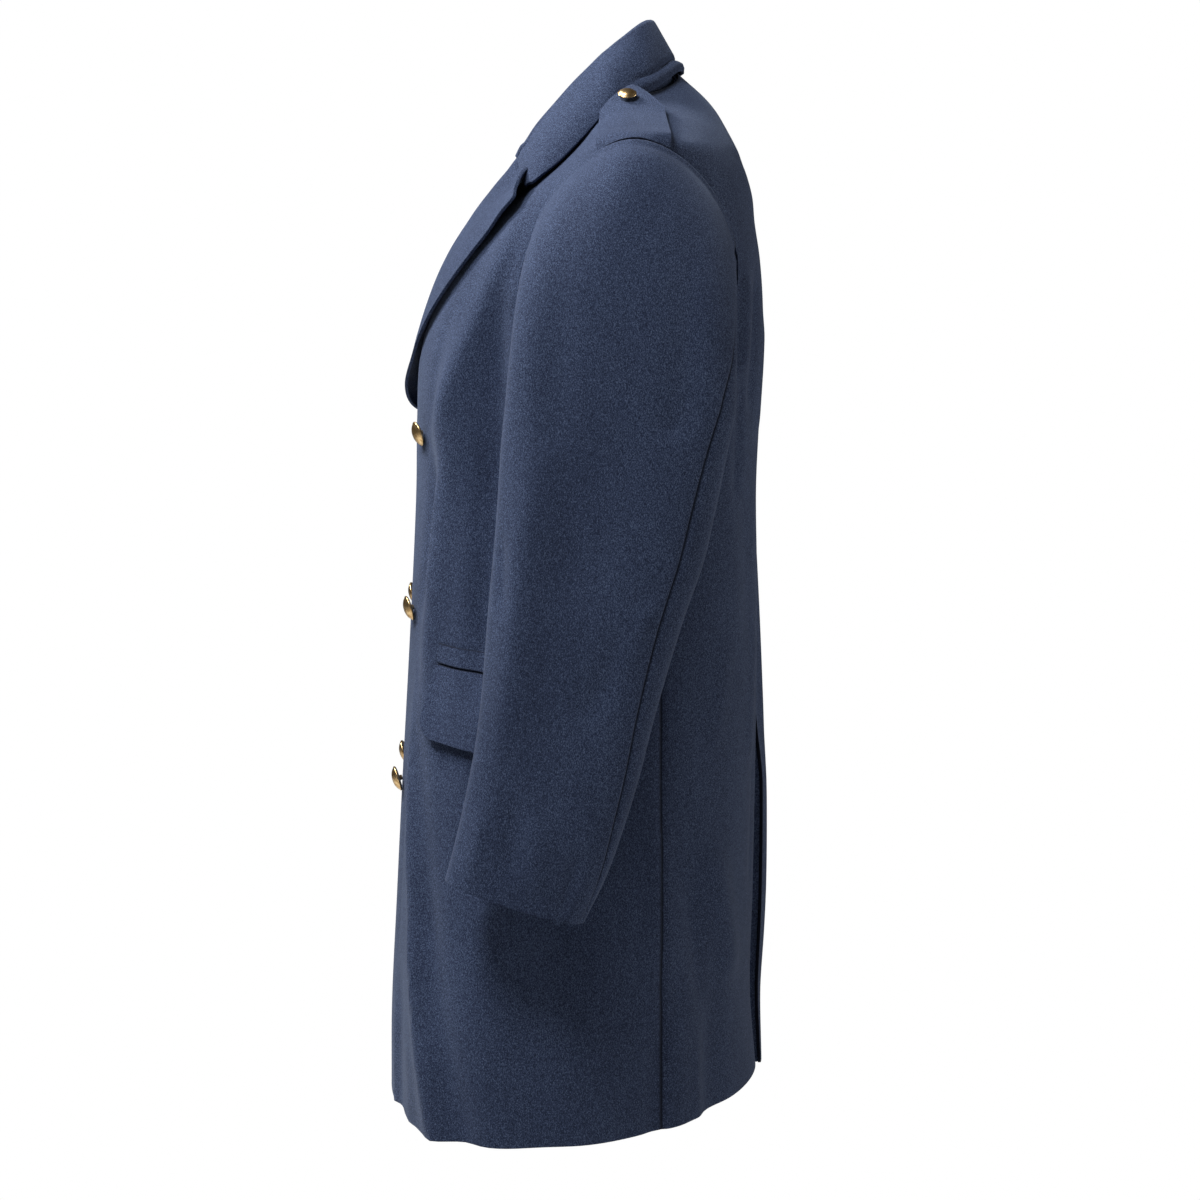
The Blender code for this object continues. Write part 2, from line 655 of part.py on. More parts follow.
# ---- Sleeves -------------------------------------------------------------------------
def armhole_point(turn):
    """The armhole's edge: the turn is 0 behind, 90 on top and 270 under the arm."""
    sine, cosine = math.sin(math.radians(turn)), math.cos(math.radians(turn))
    if sine > 0:
        half = ARMHOLE["high"] - ARMHOLE["widest"]
        power = ARMHOLE["upper_power"]
    else:
        half = ARMHOLE["widest"] - ARMHOLE["low"]
        power = ARMHOLE["lower_power"]
    half -= ARMHOLE_GAP
    wide = ARMHOLE["half_width"] - ARMHOLE_GAP
    reach = ((abs(sine) / half) ** power + (abs(cosine) / wide) ** power) ** (-1 / power)
    height = ARMHOLE["widest"] + reach * sine
    depth = ARMHOLE["middle"] + reach * cosine
    point = torso_ring(turn_at_depth(depth, height), height)
    return point + outward(point, height) * SLEEVE_CLEARANCE


def sleeve_ring_point(row, turn):
    """A point of one ring of the hanging sleeve."""
    sine, cosine = math.sin(math.radians(turn)), math.cos(math.radians(turn))
    across = math.copysign(abs(sine) ** (2.0 / SLEEVE_POWER), sine)
    along = math.copysign(abs(cosine) ** (2.0 / SLEEVE_POWER), cosine)
    front = Vector((0.0, row[SLEEVE_FRONT_Y], row[SLEEVE_FRONT_Z]))
    rear = Vector((0.0, row[SLEEVE_REAR_Y], row[SLEEVE_REAR_Z]))
    point = (front + rear) / 2 + (rear - front) / 2 * along
    point.x = (row[INNER_X] + row[OUTER_X]) / 2 + (row[OUTER_X] - row[INNER_X]) / 2 * across
    return point


def sleeve_point(way, turn):
    """A point of the sleeve. The way is below 1 in the cap and then counts the rings."""
    if way >= 1.0:
        row = min(int(way) - 1, len(SLEEVE) - 2)
        share = way - 1.0 - row
        return lerp(sleeve_ring_point(SLEEVE[row], turn),
                    sleeve_ring_point(SLEEVE[row + 1], turn), share)
    start = armhole_point(turn)
    end = sleeve_ring_point(SLEEVE[0], turn)
    upper = max(math.sin(math.radians(turn)), 0.0)
    corner = Vector((end.x, lerp(start.y, end.y, 0.5), start.z - CAP_DROP * upper))
    return (start * (1 - way) ** 2 + corner * 2 * way * (1 - way) + end * way * way)


def make_sleeve(side, finish):
    """A top sleeve and an under sleeve, sewn at the forearm and the hindarm."""
    ways = CAP_STEPS + [1.0 + k for k in range(len(SLEEVE))]
    ways.insert(-1, ways[-1] - 0.1)
    for piece, count in (("top_sleeve", 12), ("under_sleeve", 9)):
        rows = []
        for index, way in enumerate(reversed(ways)):
            share = 1.0 - index / (len(ways) - 1)
            hindarm = from_table(HINDARM_SEAM, share, 1)
            gap = math.degrees(0.5 * ROUND_SEAM_GAP / SLEEVE_RADIUS)
            if piece == "top_sleeve":
                start, end = FOREARM_SEAM - gap, hindarm + gap
            else:
                start, end = hindarm + 360.0 - gap, FOREARM_SEAM + gap
            rows.append([sleeve_point(way, lerp(start, end, portion))
                         for portion in steps(count, 0.03)])
        add_cloth(piece + "_" + side, rows, finish, mirrored=side == "right")


# ---- Shoulder straps -----------------------------------------------------------------
def strap_underside(x, y):
    """A point of the strap's underside, which bends over the shoulder less by the collar."""
    bend = lerp(0.3, 0.75, smooth((x - 0.12) / 0.03))
    crest = shoulder_height(x, WORN_AT.y)
    drop = (crest - shoulder_height(x, y)) * bend
    return Vector((x, y, crest - drop + from_table(STRAP_LIFT, x, 1)))


def make_strap(side, finish):
    """A strap from the sleeve's seam to a blunt point by the collar."""
    rows = []
    across = steps(4, 0.04)
    for share in across:
        portion = 2.0 * share - 1.0
        base_y = WORN_AT.y + STRAP_HALF_BASE * portion
        turn = math.degrees(math.atan2(ARMHOLE["high"] - ARMHOLE["widest"],
                                       base_y - ARMHOLE["middle"]))
        base = armhole_point(turn) + STRAP_BASE_PLACE
        point = abs(portion) ** STRAP_POINT_POWER
        tip_x = lerp(STRAP_TIP_X, STRAP_SHOULDER_X, point)
        row = [base]
        for step in steps(8, 0.03)[1:]:
            x = lerp(base.x, tip_x, step)
            widening = (x - STRAP_SHOULDER_X) / (STRAP_BASE_X - STRAP_SHOULDER_X)
            half = lerp(STRAP_HALF_TIP, STRAP_HALF_BASE, smooth(widening))
            row.append(strap_underside(x, WORN_AT.y + half * portion))
        rows.append(row)
    columns = [list(column) for column in zip(*rows)]
    add_cloth("shoulder_strap_" + side, columns, finish, mirrored=side == "right",
              thickness=-STRAP_CLOTH)


# ---- Pockets -------------------------------------------------------------------------
def pocket_place(along, down):
    """The turn and height of a place on the pocket, by lengths along and down it."""
    height = POCKET_HEIGHT + POCKET_SLOPE * along - down
    radius = torso_ring(POCKET_TURN + math.degrees(along / 0.22), height).xy.length
    return POCKET_TURN + math.degrees(along / radius), height


def on_front(along, down, lift, side):
    turn, height = pocket_place(along, down)
    return (front_point(turn, height, side)
            + normal_at(front_point, turn, height, side) * lift)


def make_pocket(side, finish):
    """A jet with a flap under it, lying on the front."""
    rows = []
    for share in (1.0, 0.85, 0.5, 0.15, 0.0):
        rows.append([on_front(POCKET_LENGTH * along, JET_HEIGHT * share, LYING_GAP, side)
                     for along in steps(8, 0.02)])
    add_cloth("pocket_jet_" + side, rows, finish, mirrored=side == "right",
              thickness=-JET_CLOTH)
    rows = []
    for share in (1.0, 0.94, 0.8, 0.55, 0.28, 0.05, 0.0):
        row = []
        for along in steps(10, 0.03):
            length = POCKET_LENGTH * along
            lean = 0.014 * smooth(1.0 - along * 2.5) * share
            near_end = min(length, POCKET_LENGTH - length)
            corner = max(FLAP_CORNER - near_end, 0.0)
            rounding = FLAP_CORNER - math.sqrt(FLAP_CORNER ** 2 - corner ** 2)
            down = JET_HEIGHT + SEAM_GAP + (FLAP_HEIGHT - rounding) * share
            lift = LYING_GAP + FLAP_STAND * share
            row.append(on_front(length - lean, down, lift, side))
        rows.append(row)
    add_cloth("pocket_flap_" + side, rows, finish, mirrored=side == "right",
              thickness=-CLOTH)


# ---- Buttons -------------------------------------------------------------------------
def make_button(name, place, normal, radius, finish):
    """A plain domed button on its shank, turned about its own axis."""
    outline = bmesh.new()
    points = [outline.verts.new((radius * r, 0.0, radius * h)) for r, h in BUTTON_PROFILE]
    for low, high in zip(points, points[1:]):
        outline.edges.new((low, high))
    bmesh.ops.spin(outline, geom=outline.verts[:] + outline.edges[:], cent=(0, 0, 0),
                   axis=(0, 0, 1), angle=math.tau, steps=BUTTON_SIDES, use_merge=True)
    bmesh.ops.remove_doubles(outline, verts=outline.verts, dist=0.00002)
    bmesh.ops.recalc_face_normals(outline, faces=outline.faces)
    mesh = bpy.data.meshes.new(name)
    outline.to_mesh(mesh)
    outline.free()
    mesh.shade_smooth()
    made = add_object(name, mesh, finish)
    made.rotation_euler = normal.to_track_quat("Z", "Y").to_euler()
    made.location = place - WORN_AT


def make_front_buttons(finish):
    """Two columns, both sewn through the left front, which laps over the right."""
    for row, height in enumerate(BUTTON_HEIGHTS, start=1):
        for column, x in BUTTON_X.items():
            turn = turn_at_x(x, height)
            place = front_point(turn, height, "left")
            normal = normal_at(front_point, turn, height, "left")
            across = normal.cross(Vector((0, 0, 1))).normalized()
            place += normal * 0.0012
            droop = Matrix.Rotation(math.radians(-BUTTON_DROOP), 3, across)
            make_button(f"button_{column}_{row}", place, droop @ normal,
                        BUTTON_RADIUS, finish)


def make_strap_button(side, finish):
    place = strap_underside(STRAP_BUTTON_X, STRAP_BUTTON_Y)
    slope = strap_underside(STRAP_BUTTON_X + 0.004, STRAP_BUTTON_Y) - place
    normal = Vector((-slope.z, 0.0, slope.x)).normalized()
    place += normal * (STRAP_CLOTH + LYING_GAP)
    if side == "right":
        place.x, normal.x = -place.x, -normal.x
    make_button("strap_button_" + side, place, normal, STRAP_BUTTON_RADIUS, finish)


def main():
    clear_scene()
    wool = material("blue_grey_wool", (0.045, 0.062, 0.105), 0.9)
    gilt = material("gilt_brass", (0.78, 0.53, 0.22), 0.28, 1.0)
    for side in ("left", "right"):
        make_front(side, wool)
        make_back(side, wool)
        make_lapel(side, wool)
        make_sleeve(side, wool)
        make_strap(side, wool)
        make_pocket(side, wool)
        make_strap_button(side, gilt)
    make_underlap(wool)
    make_collar(wool)
    make_front_buttons(gilt)


main()
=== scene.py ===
"""A double-breasted greatcoat in blue-grey melton wool, filled out as when worn."""
import math
from functools import partial

import bmesh
import bpy
import numpy as np
from mathutils import Matrix, Vector


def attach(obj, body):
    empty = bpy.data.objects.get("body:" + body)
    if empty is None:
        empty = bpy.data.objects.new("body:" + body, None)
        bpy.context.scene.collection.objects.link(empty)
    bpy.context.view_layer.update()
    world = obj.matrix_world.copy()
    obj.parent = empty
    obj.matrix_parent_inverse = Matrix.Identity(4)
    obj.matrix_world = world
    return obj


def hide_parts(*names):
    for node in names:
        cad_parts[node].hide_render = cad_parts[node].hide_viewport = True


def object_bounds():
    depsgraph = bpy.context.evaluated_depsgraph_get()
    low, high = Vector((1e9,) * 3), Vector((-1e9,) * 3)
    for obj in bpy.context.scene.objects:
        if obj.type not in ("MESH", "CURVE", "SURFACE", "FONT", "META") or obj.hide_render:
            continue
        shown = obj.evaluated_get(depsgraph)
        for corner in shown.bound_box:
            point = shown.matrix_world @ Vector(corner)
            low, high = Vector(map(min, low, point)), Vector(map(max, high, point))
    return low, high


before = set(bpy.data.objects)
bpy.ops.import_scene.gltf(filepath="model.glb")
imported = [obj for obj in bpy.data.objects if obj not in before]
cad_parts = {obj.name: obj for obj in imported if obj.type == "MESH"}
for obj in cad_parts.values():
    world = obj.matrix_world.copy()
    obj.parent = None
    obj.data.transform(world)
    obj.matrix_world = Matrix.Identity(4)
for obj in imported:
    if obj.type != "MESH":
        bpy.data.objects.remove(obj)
cad_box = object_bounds()

# ---- The view ------------------------------------------------------------------------
# The coat is seen square from the wearer's left, from the height of its hips. The lens
# is a little long, so the near sleeve is drawn only slightly larger than the back.
VIEW_PLACE = (2.293, -0.0305, -0.291)
VIEW_TILT = 2.39          # degrees down
VIEW_LENS = 69.0
VIEW_SENSOR = 36.0
VIEW_SHIFT = -0.08


def add_object(name, data):
    """A new object of the scene, which shows this data."""
    made = bpy.data.objects.new(name, data)
    bpy.context.scene.collection.objects.link(made)
    return made


camera = add_object("camera", bpy.data.cameras.new("camera"))
camera.data.lens = VIEW_LENS
camera.data.sensor_width = VIEW_SENSOR
camera.data.shift_y = VIEW_SHIFT
camera.location = VIEW_PLACE
camera.rotation_euler = (math.radians(90.0 - VIEW_TILT), 0.0, math.radians(90.0))
bpy.context.scene.camera = camera

# ---- The wool ------------------------------------------------------------------------
# Heavy melton: a dense cloth milled until the weave is hidden under a short, soft nap.
# Dark and pale fibres are mixed in the yarn, and the nap lies down the cloth.
WOOL_DARK = (0.0130, 0.0185, 0.0420, 1.0)
WOOL_MIDDLE = (0.0310, 0.0455, 0.0930, 1.0)
WOOL_PALE = (0.1100, 0.1500, 0.2600, 1.0)
SEAM_PAINTED_SHADE = (0.0060, 0.0080, 0.0170, 1.0)   # painted shade in the seams, near-black
WOOL_FINISH = {"Roughness": 0.88, "Specular IOR Level": 0.12, "Sheen Weight": 0.12,
               "Sheen Roughness": 0.42, "Sheen Tint": (0.62, 0.74, 1.0, 1.0)}
MIDDLE_SHARE = 0.42       # the share of pale fibre that gives the middle colour
NAP_LAYERS = [
    # size, detail and weight in the mix
    (1700.0, 2.0, 0.80),  # single fibres
    (760.0, 2.0, 0.18),   # tufts
    (11.0, 3.0, 0.10),    # patches where the nap is brushed one way
]
NAP_ROUGHNESS = 0.6
NAP_LIE = (1.0, 1.0, 0.45)                     # the nap is drawn out down the cloth
NAP_LOW, NAP_HIGH = 0.44, 0.70                 # mixes that count as all dark and all pale
NAP_RELIEF = 0.35, 0.0008                      # strength and depth


def set_inputs(tree, node, inputs):
    """Gives a node's inputs their numbers and colours, or links them to other nodes."""
    for name, value in inputs.items():
        if isinstance(value, bpy.types.NodeSocket):
            tree.links.new(value, node.inputs[name])
        else:
            node.inputs[name].default_value = value


def add_node(tree, kind, inputs=None, **settings):
    """A new node with its settings and inputs."""
    node = tree.nodes.new(kind)
    for name, value in settings.items():
        setattr(node, name, value)
    set_inputs(tree, node, inputs or {})
    return node


def add_ramp(tree, share, dark, pale):
    """Mixes two colours, each given with its place on the ramp."""
    ramp = add_node(tree, "ShaderNodeValToRGB", {"Fac": share})
    for stop, (place, colour) in zip(ramp.color_ramp.elements, (dark, pale)):
        stop.position, stop.color = place, colour
    return ramp


def set_shader(tree, inputs):
    set_inputs(tree, tree.nodes["Principled BSDF"], inputs)


def add_relief(tree, height, strength, depth):
    """The small relief of a surface."""
    relief = add_node(tree, "ShaderNodeBump",
                      {"Height": height, "Strength": strength, "Distance": depth})
    set_shader(tree, {"Normal": relief.outputs["Normal"]})


def start_material(name, finish):
    """A material with its shader's finish, its node tree and its place on the object."""
    material = bpy.data.materials.new(name)
    material.use_nodes = True
    set_shader(material.node_tree, finish)
    place = add_node(material.node_tree, "ShaderNodeTexCoord")
    return material, material.node_tree, place.outputs["Object"]


def make_nap_group():
    """Mixed fibres: the share of pale fibre, and the height of the nap."""
    group = bpy.data.node_groups.new("wool_nap", "ShaderNodeTree")
    for name, way, kind in (("Vector", "INPUT", "NodeSocketVector"),
                            ("Pale share", "OUTPUT", "NodeSocketFloat"),
                            ("Height", "OUTPUT", "NodeSocketFloat")):
        group.interface.new_socket(name, in_out=way, socket_type=kind)
    start = add_node(group, "NodeGroupInput")
    lying = add_node(group, "ShaderNodeMapping",
                     {"Vector": start.outputs["Vector"], "Scale": NAP_LIE})
    mixes = [0.0]
    for size, detail, weight in NAP_LAYERS:
        noise = add_node(group, "ShaderNodeTexNoise",
                         {"Vector": lying.outputs["Vector"], "Scale": size,
                          "Detail": detail, "Roughness": NAP_ROUGHNESS})
        mix = add_node(group, "ShaderNodeMath",
                       {0: noise.outputs["Fac"], 1: weight, 2: mixes[-1]},
                       operation="MULTIPLY_ADD")
        mixes.append(mix.outputs[0])
    stretched = add_node(group, "ShaderNodeMapRange",
                         {"Value": mixes[3], "From Min": NAP_LOW, "From Max": NAP_HIGH})
    add_node(group, "NodeGroupOutput",
             {"Pale share": stretched.outputs["Result"], "Height": mixes[2]})
    return group


def make_wool():
    """The coat's cloth."""
    wool, tree, place = start_material("blue_grey_wool", WOOL_FINISH)
    nap = add_node(tree, "ShaderNodeGroup", {"Vector": place}, node_tree=make_nap_group())
    ramp = add_ramp(tree, nap.outputs["Pale share"], (0.0, WOOL_DARK), (1.0, WOOL_PALE))
    ramp.color_ramp.elements.new(MIDDLE_SHARE).color = WOOL_MIDDLE
    # Painted shade: along the sewn edges the colour is mixed towards a near-black, for the
    # shadow in the seams.
    pressed = add_node(tree, "ShaderNodeAttribute", attribute_name="seam")
    shaded = add_node(tree, "ShaderNodeMix",
                      {0: pressed.outputs["Fac"], 6: ramp.outputs["Color"],
                       7: SEAM_PAINTED_SHADE}, data_type="RGBA")
    set_shader(tree, {"Base Color": shaded.outputs[2]})
    add_relief(tree, nap.outputs["Height"], *NAP_RELIEF)
    return wool


wool = make_wool()

# ---- Backs ---------------------------------------------------------------------------
# Two panels, each cut in one length from shoulder to hem. They are sewn down the middle
# to the top of the vent, to the fronts at the side seams, and to the sleeves and collar.
WORN_AT = np.array((0.0, 0.040, 0.950))   # heights from the hem, depths from the middle
CLOTH = 0.003
SEAM_GAP = 0.00004
ROUND_SEAM_GAP = 0.0001
SHOULDER_GAP_BLEND = 0.02
ARMHOLE_GAP = 0.0008
LYING_GAP = 0.0009
NECK_HEIGHT = 0.943
SHOULDER_NECK_RISE = 0.012
BACK_NECK_RISE = 0.052
VENT_HEIGHT = 0.380
VENT_END = 0.01           # the seam above it is pressed in over this length

MIDDLE = 4                # the column of the middle's depth
TORSO = [
    # height, half width, depth in front, behind and of the middle, front and back power
    (0, 0.276, -0.197, 0.166, -0.05, 2.3, 1.7),
    (0.08, 0.271, -0.196, 0.16, -0.046, 2.4, 1.8),
    (0.18, 0.258, -0.191, 0.162, -0.038, 2.5, 2),
    (0.3, 0.242, -0.185, 0.164, -0.025, 2.6, 2.1),
    (0.4, 0.228, -0.18, 0.165, -0.012, 2.5, 2.2),
    (0.5, 0.214, -0.175, 0.165, -0.002, 2.5, 2.3),
    (0.58, 0.206, -0.172, 0.164, 0.006, 2.4, 2.3),
    (0.65, 0.205, -0.171, 0.167, 0.014, 2.4, 2.3),
    (0.71, 0.207, -0.168, 0.17, 0.022, 2.3, 2.3),
    (0.76, 0.21, -0.154, 0.17, 0.029, 2.2, 2.3),
    (0.805, 0.214, -0.135, 0.167, 0.034, 2.1, 2.2),
    (0.84, 0.218, -0.106, 0.162, 0.037, 2, 2.1),
    (0.865, 0.221, -0.075, 0.16, 0.039, 2, 1.95),
    (0.885, 0.222, -0.046, 0.155, 0.04, 2, 1.88),
    (0.899, 0.22, -0.028, 0.15, 0.04, 2, 1.82),
    (0.91, 0.192, -0.021, 0.146, 0.04, 2, 1.93),
    (0.93, 0.146, -0.014, 0.136, 0.04, 2, 2),
    (0.95, 0.101, -0.008, 0.125, 0.04, 2, 2),
    (0.965, 0.07, -0.002, 0.113, 0.04, 2, 2),
    (0.985, 0.048, 0.006, 0.091, 0.038, 2, 2),
    (0.995, 0.04, 0.01, 0.08, 0.036, 2, 2),
]
WIDEST_HEIGHT = 0.885

# The largest folds, as soft ridges (out) and troughs (in), then the smaller creases
# between them. Each runs along a slanting line, given by its turn round the body.
FOLDS = [
    # low end's height and turn, high end's height and turn, half width, out or in
    (0.34, 48, 0.74, 44, 0.019, 0.009),
    (0.6, 38, 0.9, 64, 0.017, 0.0055),
    (0.45, 40, 0.64, 39, 0.015, -0.004),
    (0.455, 31, 0.64, 30, 0.013, 0.003),
    (0.18, 58, 0.42, 47, 0.026, 0.009),
    (-0.05, 72, 0.24, 54, 0.028, 0.01),
    (-0.05, 50, 0.16, 46, 0.02, -0.005),
    (-0.05, 94, 0.22, 82, 0.032, -0.008),
    (0.68, 134, 0.8, 131, 0.013, 0.005),
    (0.64, 144, 0.8, 143, 0.014, -0.006),
    (-0.05, 124, 0.14, 122, 0.026, 0.006),
    (0.1, 146, 0.27, 128, 0.022, 0.007),
    (-0.05, 138, 0.2, 134, 0.022, -0.004),
    (0.42, 150, 0.6, 141, 0.024, -0.003),
]
CREASES = [
    (-0.05, 73, 0.46, 35, 0.01, 0.0055),
    (-0.05, 80, 0.46, 41.5, 0.016, -0.0075),
    (0.47, 45, 0.6, 43, 0.006, 0.0028),
    (0.48, 41, 0.61, 40, 0.005, -0.0031),
    (0.36, 69, 0.8, 54, 0.021, -0.016),
    (0.64, 34, 0.76, 37, 0.011, -0.0022),
    (0.25, 36, 0.43, 33, 0.011, 0.0028),
    (0.12, 40, 0.33, 37, 0.01, -0.0028),
    (-0.04, 60, 0.09, 57, 0.01, 0.0025),
    (-0.04, 44, 0.11, 41, 0.008, 0.0025),
    (0.06, 66, 0.21, 60, 0.013, -0.0031),
    (0.13, 118, 0.3, 112, 0.015, 0.0025),
    (0.09, 131, 0.24, 121, 0.011, -0.0031),
    (-0.04, 116, 0.12, 116, 0.01, -0.0028),
    (-0.04, 131, 0.1, 129, 0.009, 0.0025),
    (0.33, 128, 0.45, 133, 0.014, 0.0022),
    (0.3, 152, 0.47, 156, 0.014, 0.0025),
    (0.56, 136, 0.7, 133, 0.009, -0.0028),
    (0.62, 156, 0.76, 159, 0.016, 0.0022),
    (0.18, 160, 0.36, 163, 0.012, -0.0022),
    (0.74, 62, 0.86, 66, 0.012, 0.0025),
]
RIGHT_FULLNESS = [        # how far out the right back stands beside the vent, by height
    (0, 0.01), (0.06, 0.014), (0.13, 0.018), (0.26, 0.017), (0.36, 0.012), (0.44, 0.008),
    (0.52, 0.004), (0.62, 0),
]
FULLNESS_X, FULLNESS_WIDTH = 0.035, 0.045
VENT_SPREAD = 0.10        # how far below its top the vent is wide open
FOLD_STRENGTH = {"left": 1.0, "right": 0.8}
FOLD_SHIFT = {"left": 0.0, "right": 2.5}
SIDE_SEAM_Y, SIDE_SEAM_BEND = 0.0655, 0.56     # straight up to the bend, then inwards
ARMHOLE = {"middle": 0.0405, "half_width": 0.0945, "low": 0.678, "high": 0.8985,
           "widest": 0.790, "upper_power": 1.8, "lower_power": 2.2}
ARMHOLE_SHIFT_FROM, ARMHOLE_SHIFT_POWER = 0.58, 1.2
# Heights of the panels' rows, closest together where the armhole begins and ends.
ROW_STOPS = [             # a height, and the number of rows up to the next
    (0, 3), (0.006, 128), (0.64, 10), (0.678, 8), (0.692, 8), (0.72, 28), (0.86, 8),
    (0.89, 6), (0.8985, 18), (NECK_HEIGHT, 0),
]
SEAM_DIP = 0.0016         # the cloth is pressed down beside a seam
SEAM_DIP_WIDTH = 0.0032
RIM_COLUMNS = 4           # narrow columns beside each edge, this wide in all
RIM_WIDTH = 0.008
TURNED_EDGE = 0.0009
TURNED_ANGLE = 50.0
AT_EDGE = 0.0001


def clamp(value):
    return np.clip(value, 0.0, 1.0)


def smooth(value):
    """A soft step from 0 to 1."""
    value = clamp(value)
    return value * value * (3.0 - 2.0 * value)


def lerp(start, end, share):
    return start + (end - start) * share


def xyz(x, y, z):
    return np.stack(np.broadcast_arrays(x, y, z), axis=-1)


def unit(way):
    return way / np.linalg.norm(way, axis=-1, keepdims=True)


def sine_cosine(turn):
    return np.sin(np.radians(turn)), np.cos(np.radians(turn))


def from_table(table, where, column):
    """One column of a table at places between its rows, along a smooth curve."""
    keys = np.array([row[0] for row in table], dtype=float)
    values = np.array([row[column] for row in table], dtype=float)
    last = len(keys) - 1
    before = np.maximum(np.arange(last + 1) - 1, 0)
    after = np.minimum(np.arange(last + 1) + 1, last)
    slopes = (values[after] - values[before]) / (keys[after] - keys[before])
    where = np.clip(where, keys[0], keys[-1])
    row = np.clip(np.searchsorted(keys, where) - 1, 0, last - 1)
    span = keys[row + 1] - keys[row]
    t = (where - keys[row]) / span
    start, end = (1 - t) ** 2, t * t
    return (values[row] * (1 + 2 * t) * start + values[row + 1] * end * (3 - 2 * t)
            + span * (slopes[row] * t * start - slopes[row + 1] * end * (1 - t)))


def all_columns(table, where):
    """Each column of a table but its first, at places between its rows."""
    return [from_table(table, where, column) for column in range(1, len(table[0]))]


def torso_part(height, ahead):
    """The middle, half width, depth and power of the body's front or back part."""
    half_width, front, back, middle, front_power, back_power = all_columns(TORSO, height)
    return (middle, half_width, np.where(ahead, middle - front, back - middle),
            np.where(ahead, front_power, back_power))


def torso_ring(turn, height):
    """Points of the plain body. The turn is 0 in front and 90 at the wearer's side."""
    height = np.broadcast_to(height, np.shape(turn)).astype(float)
    sine, cosine = sine_cosine(turn)
    middle, half_width, depth, power = torso_part(height, cosine > 0)
    reach = (np.abs(sine) / half_width) ** power + (np.abs(cosine) / depth) ** power
    radius = reach ** (-1.0 / power)
    return xyz(radius * sine, middle - radius * cosine, height)


def turn_at_depth(y, height):
    """The turn at which the side of the body has this y."""
    middle, half_width, depth, power = torso_part(
        height, y < from_table(TORSO, height, MIDDLE))
    share = np.minimum(np.abs(y - middle) / depth, 1.0)
    across = half_width * (1.0 - share ** power) ** (1.0 / power)
    return np.degrees(np.arctan2(across, middle - y))


def outward(points):
    """The level direction from the middle of the body out through the points."""
    middle = from_table(TORSO, points[..., 2], MIDDLE)
    return unit(xyz(points[..., 0], points[..., 1] - middle, 0.0))


def ridge(depth, share, away, fade):
    """One fold, by the share of its length and how many half widths away it is."""
    inside = (share > 0.0) & (share < 1.0)
    return np.where(inside, depth * fade * np.exp(-away * away), 0.0)


def fold_height(turn, height, radius, side):
    """How far the folds and creases push the cloth out (or in)."""
    total = np.zeros_like(turn)
    for low, low_turn, high, high_turn, width, depth in FOLDS + CREASES:
        share = (height - low) / (high - low)
        centre = lerp(low_turn, high_turn, share) + FOLD_SHIFT[side]
        away = np.radians(turn - centre) * radius / width
        fade = smooth(share * 4.0) * smooth((1.0 - share) * 4.0)
        if low < 0.0:     # it runs out over the hem
            fade = smooth((1.0 - share) * 3.0)
        total += ridge(depth, share, away, fade)
    return total * FOLD_STRENGTH[side]


def back_point(turn, height, side):
    """Points of the outer face of a back."""
    point = torso_ring(turn, height)
    radius = np.linalg.norm(point[..., :2], axis=-1)
    point = point + outward(point) * fold_height(turn, height, radius, side)[..., None]
    if side == "right":
        away = (point[..., 0] - FULLNESS_X) / FULLNESS_WIDTH
        open_vent = smooth((VENT_HEIGHT - height) / VENT_SPREAD)
        at_seam = lerp(smooth(point[..., 0] / FULLNESS_X), 1.0, open_vent)
        fullness = from_table(RIGHT_FULLNESS, height, 1) * np.exp(-away * away)
        point[..., 1] += fullness * at_seam
    return point


def seam_turn(turn, height, way, gap):
    """The turn moved by half a seam's gap, one way or the other."""
    radius = np.linalg.norm(torso_ring(turn, height)[..., :2], axis=-1)
    return turn + way * np.degrees(0.5 * gap / radius)


def armhole_half(above):
    """The height and the power of the armhole's upper or lower half."""
    return (np.where(above, ARMHOLE["high"] - ARMHOLE["widest"],
                     ARMHOLE["widest"] - ARMHOLE["low"]),
            np.where(above, ARMHOLE["upper_power"], ARMHOLE["lower_power"]))


def armhole_depth(height, toward):
    """The y of the armhole's edge: toward is -1 in front and +1 behind."""
    tall, power = armhole_half(height > ARMHOLE["widest"])
    share = np.abs(height - ARMHOLE["widest"]) / tall
    reach = (1.0 - np.minimum(share, 1.0) ** power) ** (1.0 / power)
    return ARMHOLE["middle"] + toward * (ARMHOLE["half_width"] * reach + SEAM_GAP)


def side_seam_turn(height, toward):
    """The side seam, going on up through the middle of the armhole."""
    above_bend = (height - SIDE_SEAM_BEND) / (ARMHOLE["low"] - SIDE_SEAM_BEND)
    seam_y = lerp(SIDE_SEAM_Y, ARMHOLE["middle"], smooth(above_bend))
    return seam_turn(turn_at_depth(seam_y, height), height, toward, SEAM_GAP)


def side_end_turn(height, toward):
    """Where a front (-1) or back (+1) ends: side seam, armhole or shoulder seam."""
    side_seam = side_seam_turn(height, toward)
    armhole = turn_at_depth(armhole_depth(height, toward), height)
    # The shoulder seam's gap is three times as wide at its outer end.
    inward = smooth((height - ARMHOLE["high"]) / SHOULDER_GAP_BLEND)
    gap = ROUND_SEAM_GAP * (3.0 - 2.0 * inward)
    shoulder = seam_turn(np.full_like(height, 90.0), height, toward, gap)
    return np.where(height < ARMHOLE["low"], side_seam,
                    np.where(height < ARMHOLE["high"], armhole, shoulder))


def armhole_shift(shift, share):
    """The cloth near the armhole makes way for it; the share counts up to the armhole."""
    beyond = clamp((share - ARMHOLE_SHIFT_FROM) / (1.0 - ARMHOLE_SHIFT_FROM))
    return shift * beyond ** ARMHOLE_SHIFT_POWER


